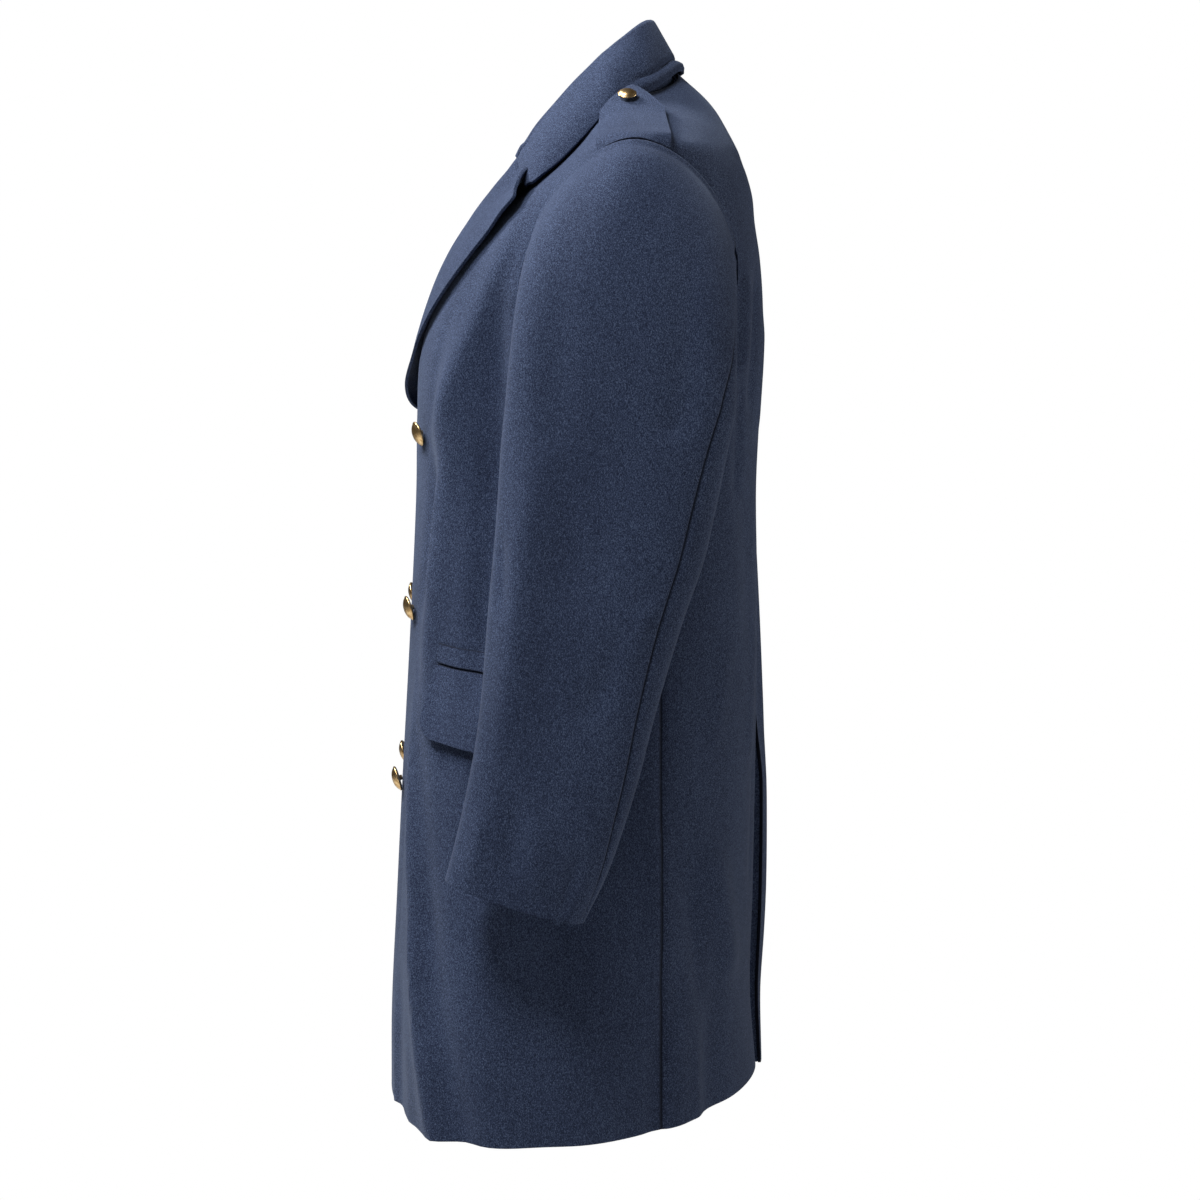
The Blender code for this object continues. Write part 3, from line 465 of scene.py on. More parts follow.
def shoulder_rise(height):
    """How much higher a row ends at the shoulder seam than at the neck in front."""
    above = (height - ARMHOLE["high"]) / (NECK_HEIGHT - ARMHOLE["high"])
    return SHOULDER_NECK_RISE * smooth(above)


def panel_rows():
    """The height of every row, and the number of spaces between them."""
    heights = [ROW_STOPS[0][0]]
    for (low, count), (high, _) in zip(ROW_STOPS, ROW_STOPS[1:]):
        heights.extend(np.linspace(low, high, count + 1)[1:])
    return np.array(heights), len(heights) - 1


def edged(along, columns, width):
    """Even columns, but for the narrow ones beside each edge of a panel of this width."""
    rim = RIM_WIDTH / width
    return np.interp(along * columns, [0, RIM_COLUMNS, columns - RIM_COLUMNS, columns],
                     [0.0, rim, 1.0 - rim, 1.0])


def seam_dip(distance):
    """How far the cloth is pressed in at a distance from a seam."""
    return SEAM_DIP * np.exp(-(distance / SEAM_DIP_WIDTH) ** 2)


def add_shape(name, shape, material):
    """A new object with this bmesh and material."""
    mesh = bpy.data.meshes.new(name)
    shape.to_mesh(mesh)
    shape.free()
    mesh.shade_smooth()
    mesh.materials.append(material)
    return add_object(name, mesh)


def add_cloth(node, columns, rows, place, flat, held, side="left", thickness=CLOTH,
              sewn=(), **cut):
    """A wall of cloth on a grid that place() lays out, standing for a CAD node.

    The grid's columns run round the body and its rows go up. A negative thickness is
    added in front of the points. The sewn edges are start and end across the columns,
    and foot and head across the rows. Flat, held and cut describe the sheet; they are not
    used.
    """
    sheet = bmesh.new()
    bmesh.ops.create_grid(sheet, x_segments=columns, y_segments=rows, size=0.5)
    along, up = np.array([vert.co for vert in sheet.verts]).T[:2] + 0.5
    points = place(along, up) - WORN_AT
    if side == "right":
        points[:, 0] *= -1.0
        bmesh.ops.reverse_faces(sheet, faces=sheet.faces)
    for vert, point in zip(sheet.verts, points):
        vert.co = point
    piece = add_shape(node + "_cloth", sheet, wool)
    at_edge = {"start": along < AT_EDGE, "end": along > 1.0 - AT_EDGE,
               "foot": up < AT_EDGE, "head": up > 1.0 - AT_EDGE}
    # Painted shade: a mask of the sewn edges, where the wool's colour is darkened for the
    # shadow in the seams.
    painted_seam_shade = np.zeros(len(points), dtype=np.float32)
    for edge in sewn:
        painted_seam_shade[at_edge[edge]] = 1.0
    seam = piece.data.attributes.new("seam", "FLOAT", "POINT")
    seam.data.foreach_set("value", painted_seam_shade)
    wall = piece.modifiers.new("wall", "SOLIDIFY")
    wall.thickness = abs(thickness)
    wall.offset = -1.0 if thickness > 0 else 1.0
    wall.use_quality_normals = True
    turned_edge = piece.modifiers.new("turned_edge", "BEVEL")
    turned_edge.width = TURNED_EDGE
    turned_edge.segments = 2
    turned_edge.limit_method = "ANGLE"
    turned_edge.angle_limit = math.radians(TURNED_ANGLE)
    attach(piece, "root")
    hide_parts(node)


BACK_COLUMNS = 66
BACK_WIDTH = 0.24
BACK_RADIUS = 0.19
BACK_RISE_FROM = 0.86     # the rows curve up towards the neck from this height
BACK_CUT = (0.31, 1.03)
BACK_CUT_AREA = 0.245
row_heights, panel_row_count = panel_rows()


def panel_height(up):
    return np.interp(up, np.linspace(0.0, 1.0, panel_row_count + 1), row_heights)


def back_place(side, along, up):
    height = panel_height(up)
    share = edged(along, BACK_COLUMNS, BACK_WIDTH)
    start = side_end_turn(height, 1)
    plain_start = side_seam_turn(height, 1)
    end = seam_turn(np.full_like(height, 180.0), height, -1, SEAM_GAP)
    shift = armhole_shift(start - plain_start, 1.0 - share)
    turn = lerp(plain_start, end, share) + shift
    near_neck = (height - BACK_RISE_FROM) / (NECK_HEIGHT - BACK_RISE_FROM)
    middle_rise = BACK_NECK_RISE * smooth(near_neck)
    rise = lerp(shoulder_rise(height), middle_rise, share)
    point = back_point(turn, height + rise, side)
    width = np.radians(end - start) * BACK_RADIUS
    dip = seam_dip(share * width)
    sewn = smooth((height - VENT_HEIGHT) / VENT_END)
    dip = dip + seam_dip((1.0 - share) * width) * sewn
    return point - outward(point) * dip[..., None]


for side in ("left", "right"):
    add_cloth(f"back_{side}", BACK_COLUMNS, panel_row_count, partial(back_place, side),
              BACK_CUT, "hung", side, sewn=("start", "end", "head"), area=BACK_CUT_AREA)

# ---- The vent's underlap -------------------------------------------------------------
# The right back's own extension below the middle seam, turned in flat under the left
# back, so that the vent stays covered when the wearer walks.
UNDERLAP = 0.034
UNDERLAP_SEWN = 0.014
UNDERLAP_TOP = 0.340
UNDERLAP_BEND = 0.002     # this far past the seam it goes over from one back to the other
UNDERLAP_SWEEP = 0.8      # less turn than width, which keeps it narrow at the seam
UNDERLAP_COLUMNS, UNDERLAP_ROWS = 16, 86
UNDERLAP_CUT = (0.05, 0.36)


def underlap_place(along, up):
    height = up * UNDERLAP_TOP
    x = lerp(UNDERLAP, -UNDERLAP_SEWN, along)
    radius = torso_ring(np.full_like(height, 180.0), height)[..., 1]
    turn = 180.0 - np.degrees(x / radius) * UNDERLAP_SWEEP
    under_left = torso_ring(turn, height)
    under_right = back_point(360.0 - turn, height, "right")
    under_right[..., 0] *= -1.0
    point = np.where((x > -UNDERLAP_BEND)[..., None], under_left, under_right)
    point[..., 1] -= CLOTH + SEAM_GAP * 2.0
    return point


add_cloth("vent_underlap", UNDERLAP_COLUMNS, UNDERLAP_ROWS, underlap_place, UNDERLAP_CUT,
          "hung")

# ---- Fronts --------------------------------------------------------------------------
# Each front is one panel from its free edge to the side seam. The left one laps over the
# right, and above the lowest lapel both are folded back along the line of the roll.
LAP = 0.100
LAP_DEPTH = 0.0050
LAP_BLEND = 0.030
LAP_PROUD, PROUD_BLEND = 0.006, 0.1
EDGE = 0.004
BREAK_HEIGHT = 0.652
ROLL_X = 1                # its column in the table
ROLL_LINE = [
    # height, x and how far it stands off
    (0.652, -0.1, 0),
    (0.7, -0.062, 0.002),
    (0.75, -0.022, 0.001),
    (0.8, 0.018, 0),
    (0.835, 0.043, 0.006),
    (0.862, 0.062, 0.018),
    (0.88, 0.074, 0.028),
    (0.898, 0.086, 0.037),
    (0.912, 0.089, 0.032),
    (0.925, 0.089, 0.021),
    (0.945, 0.084, 0.006),
]
LIFT_REACH, LIFT_REACH_NECK, NECK_REACH_FROM = 0.055, 0.033, 0.87
RIGHT_LIFT_FROM = 0.785
LIFT_BLEND = 0.03
FRONT_COLUMNS = 92
FRONT_WIDTH = 0.36
FRONT_RADIUS = 0.20
FRONT_CUT = (0.46, 1.03)
FRONT_CUT_AREA = 0.410


def turn_at_x(x, height):
    """The turn at which the front of the body has this x."""
    _, half_width, depth, power = torso_part(height, True)
    share = np.minimum(np.abs(x) / half_width, 1.0)
    return np.degrees(np.arctan2(x, depth * (1.0 - share ** power) ** (1.0 / power)))


def front_point(turn, height, side):
    """Points of the outer face of a front, on positive X for either side."""
    point = torso_ring(turn, height)
    radius = np.linalg.norm(point[..., :2], axis=-1)
    clear_of_lap = smooth((np.abs(point[..., 0]) - LAP) / LAP_BLEND)
    folds = fold_height(turn, height, radius, side) * clear_of_lap
    point = point + outward(point) * folds[..., None]
    roll_x, lift = all_columns(ROLL_LINE, height)
    away = point[..., 0] - roll_x
    reach = lerp(LIFT_REACH, LIFT_REACH_NECK,
                 smooth((height - NECK_REACH_FROM) / LIFT_BLEND))
    if side == "right":
        lift = lift * smooth((height - RIGHT_LIFT_FROM) / LIFT_BLEND)
    point[..., 1] -= np.where(height > BREAK_HEIGHT, lift * smooth(1.0 - away / reach), 0.0)
    if side == "right":
        beyond = (point[..., 0] + roll_x - 2 * EDGE) / LAP_BLEND
        point[..., 1] += LAP_DEPTH * (1.0 - smooth(beyond))
    else:
        point[..., 1] -= (LAP_PROUD * smooth(-point[..., 0] / LAP)
                          * smooth((BREAK_HEIGHT - height) / PROUD_BLEND))
    return point


def normal_at(face, turn, height, side):
    """The outward normals of a face function."""
    step_turn, step_height = 0.5, 0.002     # degrees and metres
    along = face(turn + step_turn, height, side) - face(turn - step_turn, height, side)
    up = face(turn, height + step_height, side) - face(turn, height - step_height, side)
    return unit(np.cross(along, up))


def off_front(turn, height, side, lift):
    """Points that stand off a front, and its normals there."""
    normal = normal_at(front_point, turn, height, side)
    return front_point(turn, height, side) + normal * lift, normal


def front_edge_turn(height):
    """The free edge of a front, then its lapel's fold, then the neck seam."""
    return turn_at_x(from_table(ROLL_LINE, height, ROLL_X), height)


def front_place(side, along, up):
    height = panel_height(up)
    share = edged(along, FRONT_COLUMNS, FRONT_WIDTH)
    start, end = front_edge_turn(height), side_end_turn(height, -1)
    plain_end = side_seam_turn(height, -1)
    turn = lerp(start, plain_end, share) + armhole_shift(end - plain_end, share)
    point = front_point(turn, height + shoulder_rise(height) * share, side)
    width = np.radians(end - start) * FRONT_RADIUS
    return point - outward(point) * seam_dip((1.0 - share) * width)[..., None]


for side in ("left", "right"):
    add_cloth(f"front_{side}", FRONT_COLUMNS, panel_row_count, partial(front_place, side),
              FRONT_CUT, "hung", side, sewn=("end", "head"), area=FRONT_CUT_AREA)

# ---- Lapels --------------------------------------------------------------------------
# The top of each front, turned back over a soft roll and laid on the chest. The edge is
# pressed thin and stands off the chest, most of all below the notch.
LAPEL_EDGE = [
    # the fold's height, then the edge's x, height and how far it stands off
    (0.656, -0.084, 0.654, 0.006),
    (0.672, -0.056, 0.664, 0.014),
    (0.692, -0.014, 0.682, 0.013),
    (0.712, 0.03, 0.706, 0.006),
    (0.735, 0.062, 0.73, 0.0045),
    (0.76, 0.092, 0.757, 0.005),
    (0.79, 0.12, 0.787, 0.005),
    (0.82, 0.139, 0.814, 0.006),
    (0.85, 0.148, 0.834, 0.009),
    (0.88, 0.153, 0.847, 0.01),
    (0.891, 0.149, 0.853, 0.013),
    (0.897, 0.142, 0.862, 0.016),
]
LAPEL_CROSSING = 0.728
LAPEL_ROLL_WIDTH = 0.0112
FOLD_RADIUS = 0.0022
TUCKED_LIFT = 0.0023
TUCKED_REACH = 0.0032
BEND_SHARE = 0.16         # the part of the columns that goes round the fold
LAPEL_COLUMNS, LAPEL_ROWS = 50, 84
LAPEL_CUT = {"left": (0.13, 0.30), "right": (0.12, 0.20)}
LAPEL_CUT_AREA = {"left": 0.029, "right": 0.019}


def lapel_place(side, along, up):
    lowest = LAPEL_EDGE[0][0] if side == "left" else LAPEL_CROSSING
    fold = lerp(lowest, LAPEL_EDGE[-1][0], up)
    fold_x = from_table(ROLL_LINE, fold, ROLL_X)
    tucked = (fold_x < LAPEL_ROLL_WIDTH / 2) & (side == "right")
    fold_x = np.where(tucked, LAPEL_ROLL_WIDTH - fold_x, fold_x)
    fold_turn = turn_at_x(fold_x, fold)
    at_fold = front_point(fold_turn, fold, side)
    normal = normal_at(front_point, fold_turn + 1.0, fold, side)
    inward = unit(at_fold - front_point(fold_turn + 1.0, fold, side))
    bend = np.radians(180.0 * clamp(along / BEND_SHARE))[..., None]
    rolled = (at_fold + inward * SEAM_GAP
              + (normal + inward * np.sin(bend) - normal * np.cos(bend)) * FOLD_RADIUS)
    flat = (at_fold + normal * TUCKED_LIFT
            + inward * TUCKED_REACH * (1.0 - along / BEND_SHARE)[..., None])
    at_bend = np.where(tucked[..., None], flat, rolled)
    share = clamp((along - BEND_SHARE) / (1.0 - BEND_SHARE))
    edge_x, edge_height, stand = all_columns(LAPEL_EDGE, fold)
    height = lerp(fold, edge_height, share)
    turn = turn_at_x(lerp(fold_x, edge_x, share), height)
    lift_at_fold = np.where(tucked, TUCKED_LIFT, 2.0 * FOLD_RADIUS)
    lift = lerp(lift_at_fold, stand, smooth(share * 1.2))
    laid, _ = off_front(turn, height, side, lift[..., None])
    return np.where((along < BEND_SHARE)[..., None], at_bend, laid)


for side in ("left", "right"):
    add_cloth(f"lapel_{side}", LAPEL_COLUMNS, LAPEL_ROWS, partial(lapel_place, side),
              LAPEL_CUT[side], "folded", side, -CLOTH, area=LAPEL_CUT_AREA[side])

# ---- Collar --------------------------------------------------------------------------
# One broad piece: the stand goes up from the neck seam, the cloth rolls over, and the fall
# comes down on to the back and shoulders. Behind, its edge is pressed into a flat band.
COLLAR = [
    # the neck seam's turn or height, the fold (x, y, height), and the outer edge
    # (x, y, how far it stands off the shoulder)
    ("turn", 180.0, (0.000, 0.056, 1.036), (0.000, 0.0895, 0.0035)),
    ("turn", 167.0, (0.017, 0.055, 1.035), (0.026, 0.0835, 0.0035)),
    ("turn", 150.0, (0.034, 0.05, 1.031), (0.054, 0.071, 0.0035)),
    ("turn", 128.0, (0.049, 0.042, 1.023), (0.08, 0.056, 0.0035)),
    ("turn", 106.0, (0.06, 0.031, 1.012), (0.094, 0.043, 0.0028)),
    ("turn", 90.0, (0.066, 0.02, 1.002), (0.106, 0.031, 0.0026)),
    ("height", 0.942, (0.071, 0.01, 0.993), (0.117, 0.018, 0.0026)),
    ("height", 0.932, (0.079, -0.009, 0.973), (0.13, -0.005, 0.003)),
    ("height", 0.92, (0.083, -0.03, 0.949), (0.138, -0.027, 0.0034)),
    ("height", 0.911, (0.086, -0.049, 0.927), (0.143, -0.043, 0.005)),
    ("height", 0.905, (0.088, -0.06, 0.911), (0.1435, -0.052, 0.006)),
    ("height", 0.901, (0.089, -0.0645, 0.907), (0.143, -0.0543, 0.0075)),
    ("height", 0.893, (0.0865, -0.069, 0.899), (0.137, -0.059, 0.0085)),
]
COLLAR_BOW, BOW_FROM_MIDDLE = 0.07, 0.06
LEAN_STEPS = (-1.2, -0.8, -0.4, 0.0, 0.4, 0.8, 1.2)   # rows that even out the lean
LEAN_STEP = 0.3
COLLAR_COLUMNS, COLLAR_ROWS = 150, 54
STAND_SHARE, FOLD_SHARE = 0.30, 0.14           # of the rows; the rest is the fall
FOLD_WIDE, FOLD_TALL = 1.2, 0.95               # of the fold's radius
STAND_HOLLOW = 0.004
STAND_INSIDE, STAND_BELOW = 0.0065, 0.0060     # its seam allowance lies inside the neck,
SHORT_STAND = 0.04                             # less so where the stand is shorter
# The band pressed along the edge behind and the groove above it: their depth, their
# place down the fall and half width, and the rows at which they end and fade.
BAND, GROOVE = (0.0034, 0.91, 0.060), (-0.0022, 0.77, 0.055)
BAND_END, BAND_FADE = 4.8, 1.6
COLLAR_CUT = (0.52, 0.15)
COLLAR_CUT_AREA = 0.051


def shoulder_height(x, y):
    """The height of the shoulder's upper face above places, found by halving."""
    low = np.where(x > 0.15, WIDEST_HEIGHT, 0.80)
    high = np.full_like(low, TORSO[-1][0])
    for _ in range(30):
        height = (low + high) / 2
        middle, half_width, depth, _ = torso_part(height, False)
        front_y = front_point(turn_at_x(x, height), height, "left")[..., 1]
        behind = (x / half_width) ** 2 + ((y - middle) / depth) ** 2 < 1.0
        inside = (x <= half_width) & np.where(y < middle, front_y < y, behind)
        low, high = np.where(inside, height, low), np.where(inside, high, height)
    return low


def collar_lines():
    """The neck seam, the top of the fold and the outer edge, from end to end."""
    left = []
    for index, (kind, where, top, edge) in enumerate(COLLAR):
        if kind == "turn":
            rise = lerp(SHOULDER_NECK_RISE, BACK_NECK_RISE, (where - 90.0) / 90.0)
            neck = back_point(np.array([where]), np.array([NECK_HEIGHT + rise]), "left")[0]
        else:
            level = np.array([where])
            neck = front_point(front_edge_turn(level), level, "left")[0]
        x, y, stand = edge
        edge_height = shoulder_height(np.array([x]), np.array([y]))[0] + stand
        left.append((index, *neck, *top, x, y, edge_height))
    right = np.array(left[:0:-1]) * (-1, -1, 1, 1, -1, 1, 1, -1, 1, 1)
    return [*right, *left]


collar_table = collar_lines()


def collar_line(where, first):
    """The points of one of the collar's three lines."""
    return np.stack([from_table(collar_table, where, first + k) for k in range(3)], axis=-1)


def collar_place(along, up):
    where = (along * 2.0 - 1.0) * (len(COLLAR) - 1)
    neck, top, fall = (collar_line(where, first) for first in (1, 4, 7))
    rise = unit(sum(unit(collar_line(where + step, 4) - collar_line(where + step, 1))
                    for step in LEAN_STEPS))
    side_way = unit(np.cross(rise, collar_line(where + LEAN_STEP, 4)
                             - collar_line(where - LEAN_STEP, 4)))
    length = np.linalg.norm(fall - top, axis=-1, keepdims=True)
    stand_length = np.linalg.norm(top - neck, axis=-1, keepdims=True)
    tucked = smooth(stand_length / SHORT_STAND)
    neck = neck + rise * LYING_GAP * 1.5
    neck = neck - (side_way * STAND_INSIDE + rise * STAND_BELOW) * tucked
    inner = top - rise * FOLD_RADIUS
    outer = inner + side_way * 2.0 * FOLD_WIDE * FOLD_RADIUS
    on_stand = clamp(up / STAND_SHARE)[..., None]
    hollow = STAND_HOLLOW * on_stand * (1.0 - on_stand)
    stand = lerp(neck, inner, on_stand) - side_way * hollow
    angle = np.pi * clamp((up - STAND_SHARE) / FOLD_SHARE)[..., None]
    centre = (inner + outer) / 2
    fold = (centre - side_way * FOLD_WIDE * FOLD_RADIUS * np.cos(angle)
            + rise * FOLD_TALL * FOLD_RADIUS * np.sin(angle))
    before_fall = STAND_SHARE + FOLD_SHARE
    on_fall = clamp((up - before_fall) / (1.0 - before_fall))[..., None]
    bulge = length * COLLAR_BOW * smooth(np.abs(top[..., 0:1]) / BOW_FROM_MIDDLE)
    laid = lerp(outer, fall, on_fall) + side_way * 4.0 * on_fall * (1.0 - on_fall) * bulge
    behind = smooth((BAND_END - np.abs(where)) / BAND_FADE)[..., None]
    for depth, middle, half_width in (BAND, GROOVE):
        pressed = depth * np.exp(-((on_fall - middle) / half_width) ** 2)
        laid = laid + side_way * pressed * behind
    return np.where((up < STAND_SHARE)[..., None], stand,
                    np.where((up < before_fall)[..., None], fold, laid))


add_cloth("collar", COLLAR_COLUMNS, COLLAR_ROWS, collar_place, COLLAR_CUT, "folded",
          thickness=-CLOTH, area=COLLAR_CUT_AREA)

# ---- Sleeves -------------------------------------------------------------------------
# Two pieces each. The top sleeve is eased into the armhole over a soft roll, and the under
# sleeve joins it down the forearm and the hindarm. The arm hangs a little bent.
SLEEVE = [
    # ring, then y and height in front, y and height behind, x inside and outside
    (0, -0.074, 0.668, 0.13, 0.656, 0.211, 0.298),
    (1, -0.0784, 0.624, 0.121, 0.612, 0.2125, 0.3),
    (2, -0.0811, 0.58, 0.111, 0.564, 0.215, 0.302),
    (3, -0.084, 0.54, 0.1005, 0.52, 0.2185, 0.3045),
    (4, -0.088, 0.497, 0.084, 0.474, 0.2245, 0.308),
    (5, -0.0915, 0.452, 0.069, 0.426, 0.2325, 0.3125),
    (6, -0.0945, 0.41, 0.056, 0.381, 0.24, 0.3165),
    (7, -0.1, 0.365, 0.044, 0.334, 0.245, 0.32),
    (8, -0.108, 0.322, 0.03, 0.289, 0.249, 0.3225),
    (9, -0.1165, 0.284, 0.0155, 0.249, 0.2515, 0.3245),
    (10, -0.1265, 0.246, -0.0045, 0.208, 0.254, 0.326),
]
SLEEVE_POWER = 2.3
SLEEVE_RADIUS = 0.055
CREASE_RADIUS = 0.07
SLEEVE_CLEARANCE = 0.0006
CAP_STEPS = [0.0, 0.06, 0.18, 0.33, 0.5, 0.68, 0.86]
CAP_DROP = 0.016
FOREARM_SEAM = 214.0
HINDARM_SEAM = [          # way down the sleeve, and turn from the rear
    (0, 8), (0.25, 6), (0.33, 12), (0.42, 33), (0.6, 42), (0.85, 34), (1, 17),
]
# Creases of the sleeves. The way counts down the sleeve: 0 to 1 is the cap, then the rings.
SLEEVE_CREASES = [
    # the way and turn where it starts, and where it ends, half width, out or in
    (1.2, 130, 8.8, 126, 0.022, 0.0078),
    (1, 100, 5.5, 98, 0.026, -0.0039),
    (5, 60, 7.5, 84, 0.012, -0.0031),
    (4.4, 48, 6.4, 70, 0.011, 0.0028),
    (3.6, 158, 5.6, 140, 0.01, -0.0028),
    (8.6, 112, 10.6, 96, 0.01, -0.004),
    (8.8, 96, 10.9, 82, 0.011, 0.004),
    (9, 138, 10.9, 126, 0.012, 0.0025),
    (9.4, 62, 11.2, 52, 0.01, -0.0025),
    (0.35, 58, 1.8, 64, 0.013, -0.0034),
    (0.35, 122, 2.2, 118, 0.014, -0.0028),
    (2.4, 300, 4.6, 330, 0.012, -0.0031),
    (4.8, 320, 6.6, 300, 0.012, 0.0028),
    (6.8, 250, 9, 280, 0.012, -0.0028),
]
CAP_ROLL = 0.0030         # the sleeve's head stands up in a roll just past its seam,
CAP_ROLL_FROM = 0.0065    # with its crest this far from the seam
CAP_ROLL_WIDTH = 0.0050
TOP_SLEEVE_COLUMNS, UNDER_SLEEVE_COLUMNS, SLEEVE_ROWS = 60, 42, 170
SLEEVE_PIECES = [
    # name, columns, width, cut and area of the cut
    ("top_sleeve", TOP_SLEEVE_COLUMNS, 0.26, (0.30, 0.66), 0.150),
    ("under_sleeve", UNDER_SLEEVE_COLUMNS, 0.17, (0.22, 0.60), 0.110),
]
HEAD_ROWS = 16            # rows in the first part of the cap
HEAD_ALLOWANCE = 0.0030   # the head's first row is turned in under the armhole's edge,
HEAD_UNDER = 0.0050       # so far out from the armhole and so far below the cloth
SLEEVE_WAYS = CAP_STEPS + [1.0 + k for k in range(len(SLEEVE))]


def armhole_point(turn):
    """The armhole's edge: the turn is 0 behind, 90 on top and 270 under the arm."""
    sine, cosine = sine_cosine(turn)
    tall, power = armhole_half(sine > 0)
    wide = ARMHOLE["half_width"] - ARMHOLE_GAP
    reach = ((np.abs(sine) / (tall - ARMHOLE_GAP)) ** power
             + (np.abs(cosine) / wide) ** power) ** (-1 / power)
    height = ARMHOLE["widest"] + reach * sine
    depth = ARMHOLE["middle"] + reach * cosine
    point = torso_ring(turn_at_depth(depth, height), height)
    return point + outward(point) * SLEEVE_CLEARANCE


def sleeve_ring_point(ring, turn):
    """Points of the rings of the hanging sleeve."""
    across, along = (np.copysign(np.abs(part) ** (2.0 / SLEEVE_POWER), part)
                     for part in sine_cosine(turn))
    front_y, front_z, rear_y, rear_z, inner, outer = all_columns(SLEEVE, ring)
    return xyz((inner + outer) / 2 + (outer - inner) / 2 * across,
               (front_y + rear_y) / 2 + (rear_y - front_y) / 2 * along,
               (front_z + rear_z) / 2 + (rear_z - front_z) / 2 * along)


def plain_sleeve_point(way, turn):
    """Points of the sleeve before its creases."""
    start = armhole_point(turn)
    first_ring = sleeve_ring_point(np.zeros_like(turn), turn)
    upper = np.maximum(np.sin(np.radians(turn)), 0.0)
    corner = xyz(first_ring[..., 0], lerp(start[..., 1], first_ring[..., 1], 0.5),
                 start[..., 2] - CAP_DROP * upper)
    w = clamp(way)[..., None]
    cap = start * (1 - w) ** 2 + corner * 2 * w * (1 - w) + first_ring * w * w
    return np.where((way < 1.0)[..., None], cap, sleeve_ring_point(way - 1.0, turn))


def sleeve_point(way, turn):
    """Points of the sleeve with its creases and the roll at its head."""
    point = plain_sleeve_point(way, turn)
    around = plain_sleeve_point(way, turn + 0.5) - plain_sleeve_point(way, turn - 0.5)
    down = (plain_sleeve_point(way + 0.01, turn)
            - plain_sleeve_point(np.maximum(way - 0.01, 0.0), turn))
    normal = unit(np.cross(around, down))
    push = np.zeros_like(way)
    for start, start_turn, end, end_turn, width, depth in SLEEVE_CREASES:
        share = (way - start) / (end - start)
        aside = np.radians(turn % 360.0 - lerp(start_turn, end_turn, share))
        fade = smooth(share * 3.0) * smooth((1.0 - share) * 3.0)
        push += ridge(depth, share, aside * CREASE_RADIUS / width, fade)
    pace = np.linalg.norm(plain_sleeve_point(np.full_like(way, 0.02), turn)
                          - plain_sleeve_point(np.zeros_like(way), turn), axis=-1) / 0.02
    from_crest = (way * pace - CAP_ROLL_FROM) / CAP_ROLL_WIDTH
    upper = smooth(np.sin(np.radians(turn)) + 0.45)
    push += np.where(way < 1.0, CAP_ROLL * upper * np.exp(-from_crest ** 2), 0.0)
    return point + normal * push[..., None]


def sleeve_place(piece, columns, width, along, up):
    last = len(SLEEVE_WAYS) - 1
    position = np.interp((1.0 - up) * SLEEVE_ROWS, (0, HEAD_ROWS, SLEEVE_ROWS),
                         (0.0, 2.0, last))
    way = np.interp(position, np.arange(last + 1), SLEEVE_WAYS)
    hindarm = from_table(HINDARM_SEAM, position / last, 1)
    gap = np.degrees(0.5 * ROUND_SEAM_GAP / SLEEVE_RADIUS)
    if piece == "top_sleeve":
        start, end = FOREARM_SEAM - gap, hindarm + gap
    else:
        start, end = hindarm + 360.0 - gap, FOREARM_SEAM + gap
    share = edged(along, columns, width)
    turn = lerp(start, end, share)
    point = sleeve_point(way, turn)
    centre = (plain_sleeve_point(way, turn) + plain_sleeve_point(way, turn + 180.0)) / 2
    dip = seam_dip(share * width) + seam_dip((1.0 - share) * width)
    sine, cosine = sine_cosine(turn)
    under = xyz(-HEAD_UNDER, HEAD_ALLOWANCE * cosine, HEAD_ALLOWANCE * sine)
    at_head = (up > 1.0 - AT_EDGE)[..., None]
    return point + unit(centre - point) * dip[..., None] + under * at_head


for side in ("left", "right"):
    for piece, columns, width, cut, cut_area in SLEEVE_PIECES:
        add_cloth(f"{piece}_{side}", columns, SLEEVE_ROWS,
                  partial(sleeve_place, piece, columns, width), cut, "hung", side,
                  sewn=("start", "end", "head"), area=cut_area)

# ---- Shoulder straps -----------------------------------------------------------------
# A double strap caught in the sleeve-head seam. Its blunt point lies over the collar's edge
# and is held by a small button.
STRAP_BASE_X = 0.205
STRAP_TIP_X = 0.100
STRAP_SHOULDER_X = 0.134  # where the strap starts to narrow to its point
STRAP_POINT_POWER = 1.3
STRAP_HALF_BASE = 0.033
STRAP_HALF_TIP = 0.030
STRAP_WIDTH, STRAP_LENGTH = 0.12, 0.11
STRAP_CLOTH = 0.0028
STRAP_BASE_PLACE = (0.0008, 0.0, 0.0012)
STRAP_LIFT = [            # by x, the lift of the strap's underside above the shoulder
    (0.1, 0.0125), (0.106, 0.0112), (0.112, 0.0098), (0.122, 0.0068), (0.132, 0.0043),
    (0.146, 0.0021), (0.165, 0.0017), (0.185, 0.0019), (0.2, 0.0026),
]
STRAP_BEND = 0.3, 0.75    # of the shoulder's, by the collar and beyond it
STRAP_BEND_FROM, STRAP_BEND_BLEND = 0.12, 0.03
STRAP_BASE_BLEND = 0.08   # the share of its length in which it leaves the armhole
STRAP_COLUMNS, STRAP_ROWS = 34, 50
STRAP_CUT = (0.066, 0.125)


def strap_underside(x, y):
    """Points of the strap's underside, which bends over the shoulder less by the collar."""
    bend = lerp(*STRAP_BEND, smooth((x - STRAP_BEND_FROM) / STRAP_BEND_BLEND))
    crest = shoulder_height(x, np.full_like(x, WORN_AT[1]))
    drop = (crest - shoulder_height(x, y)) * bend
    return xyz(x, y, crest - drop + from_table(STRAP_LIFT, x, 1))


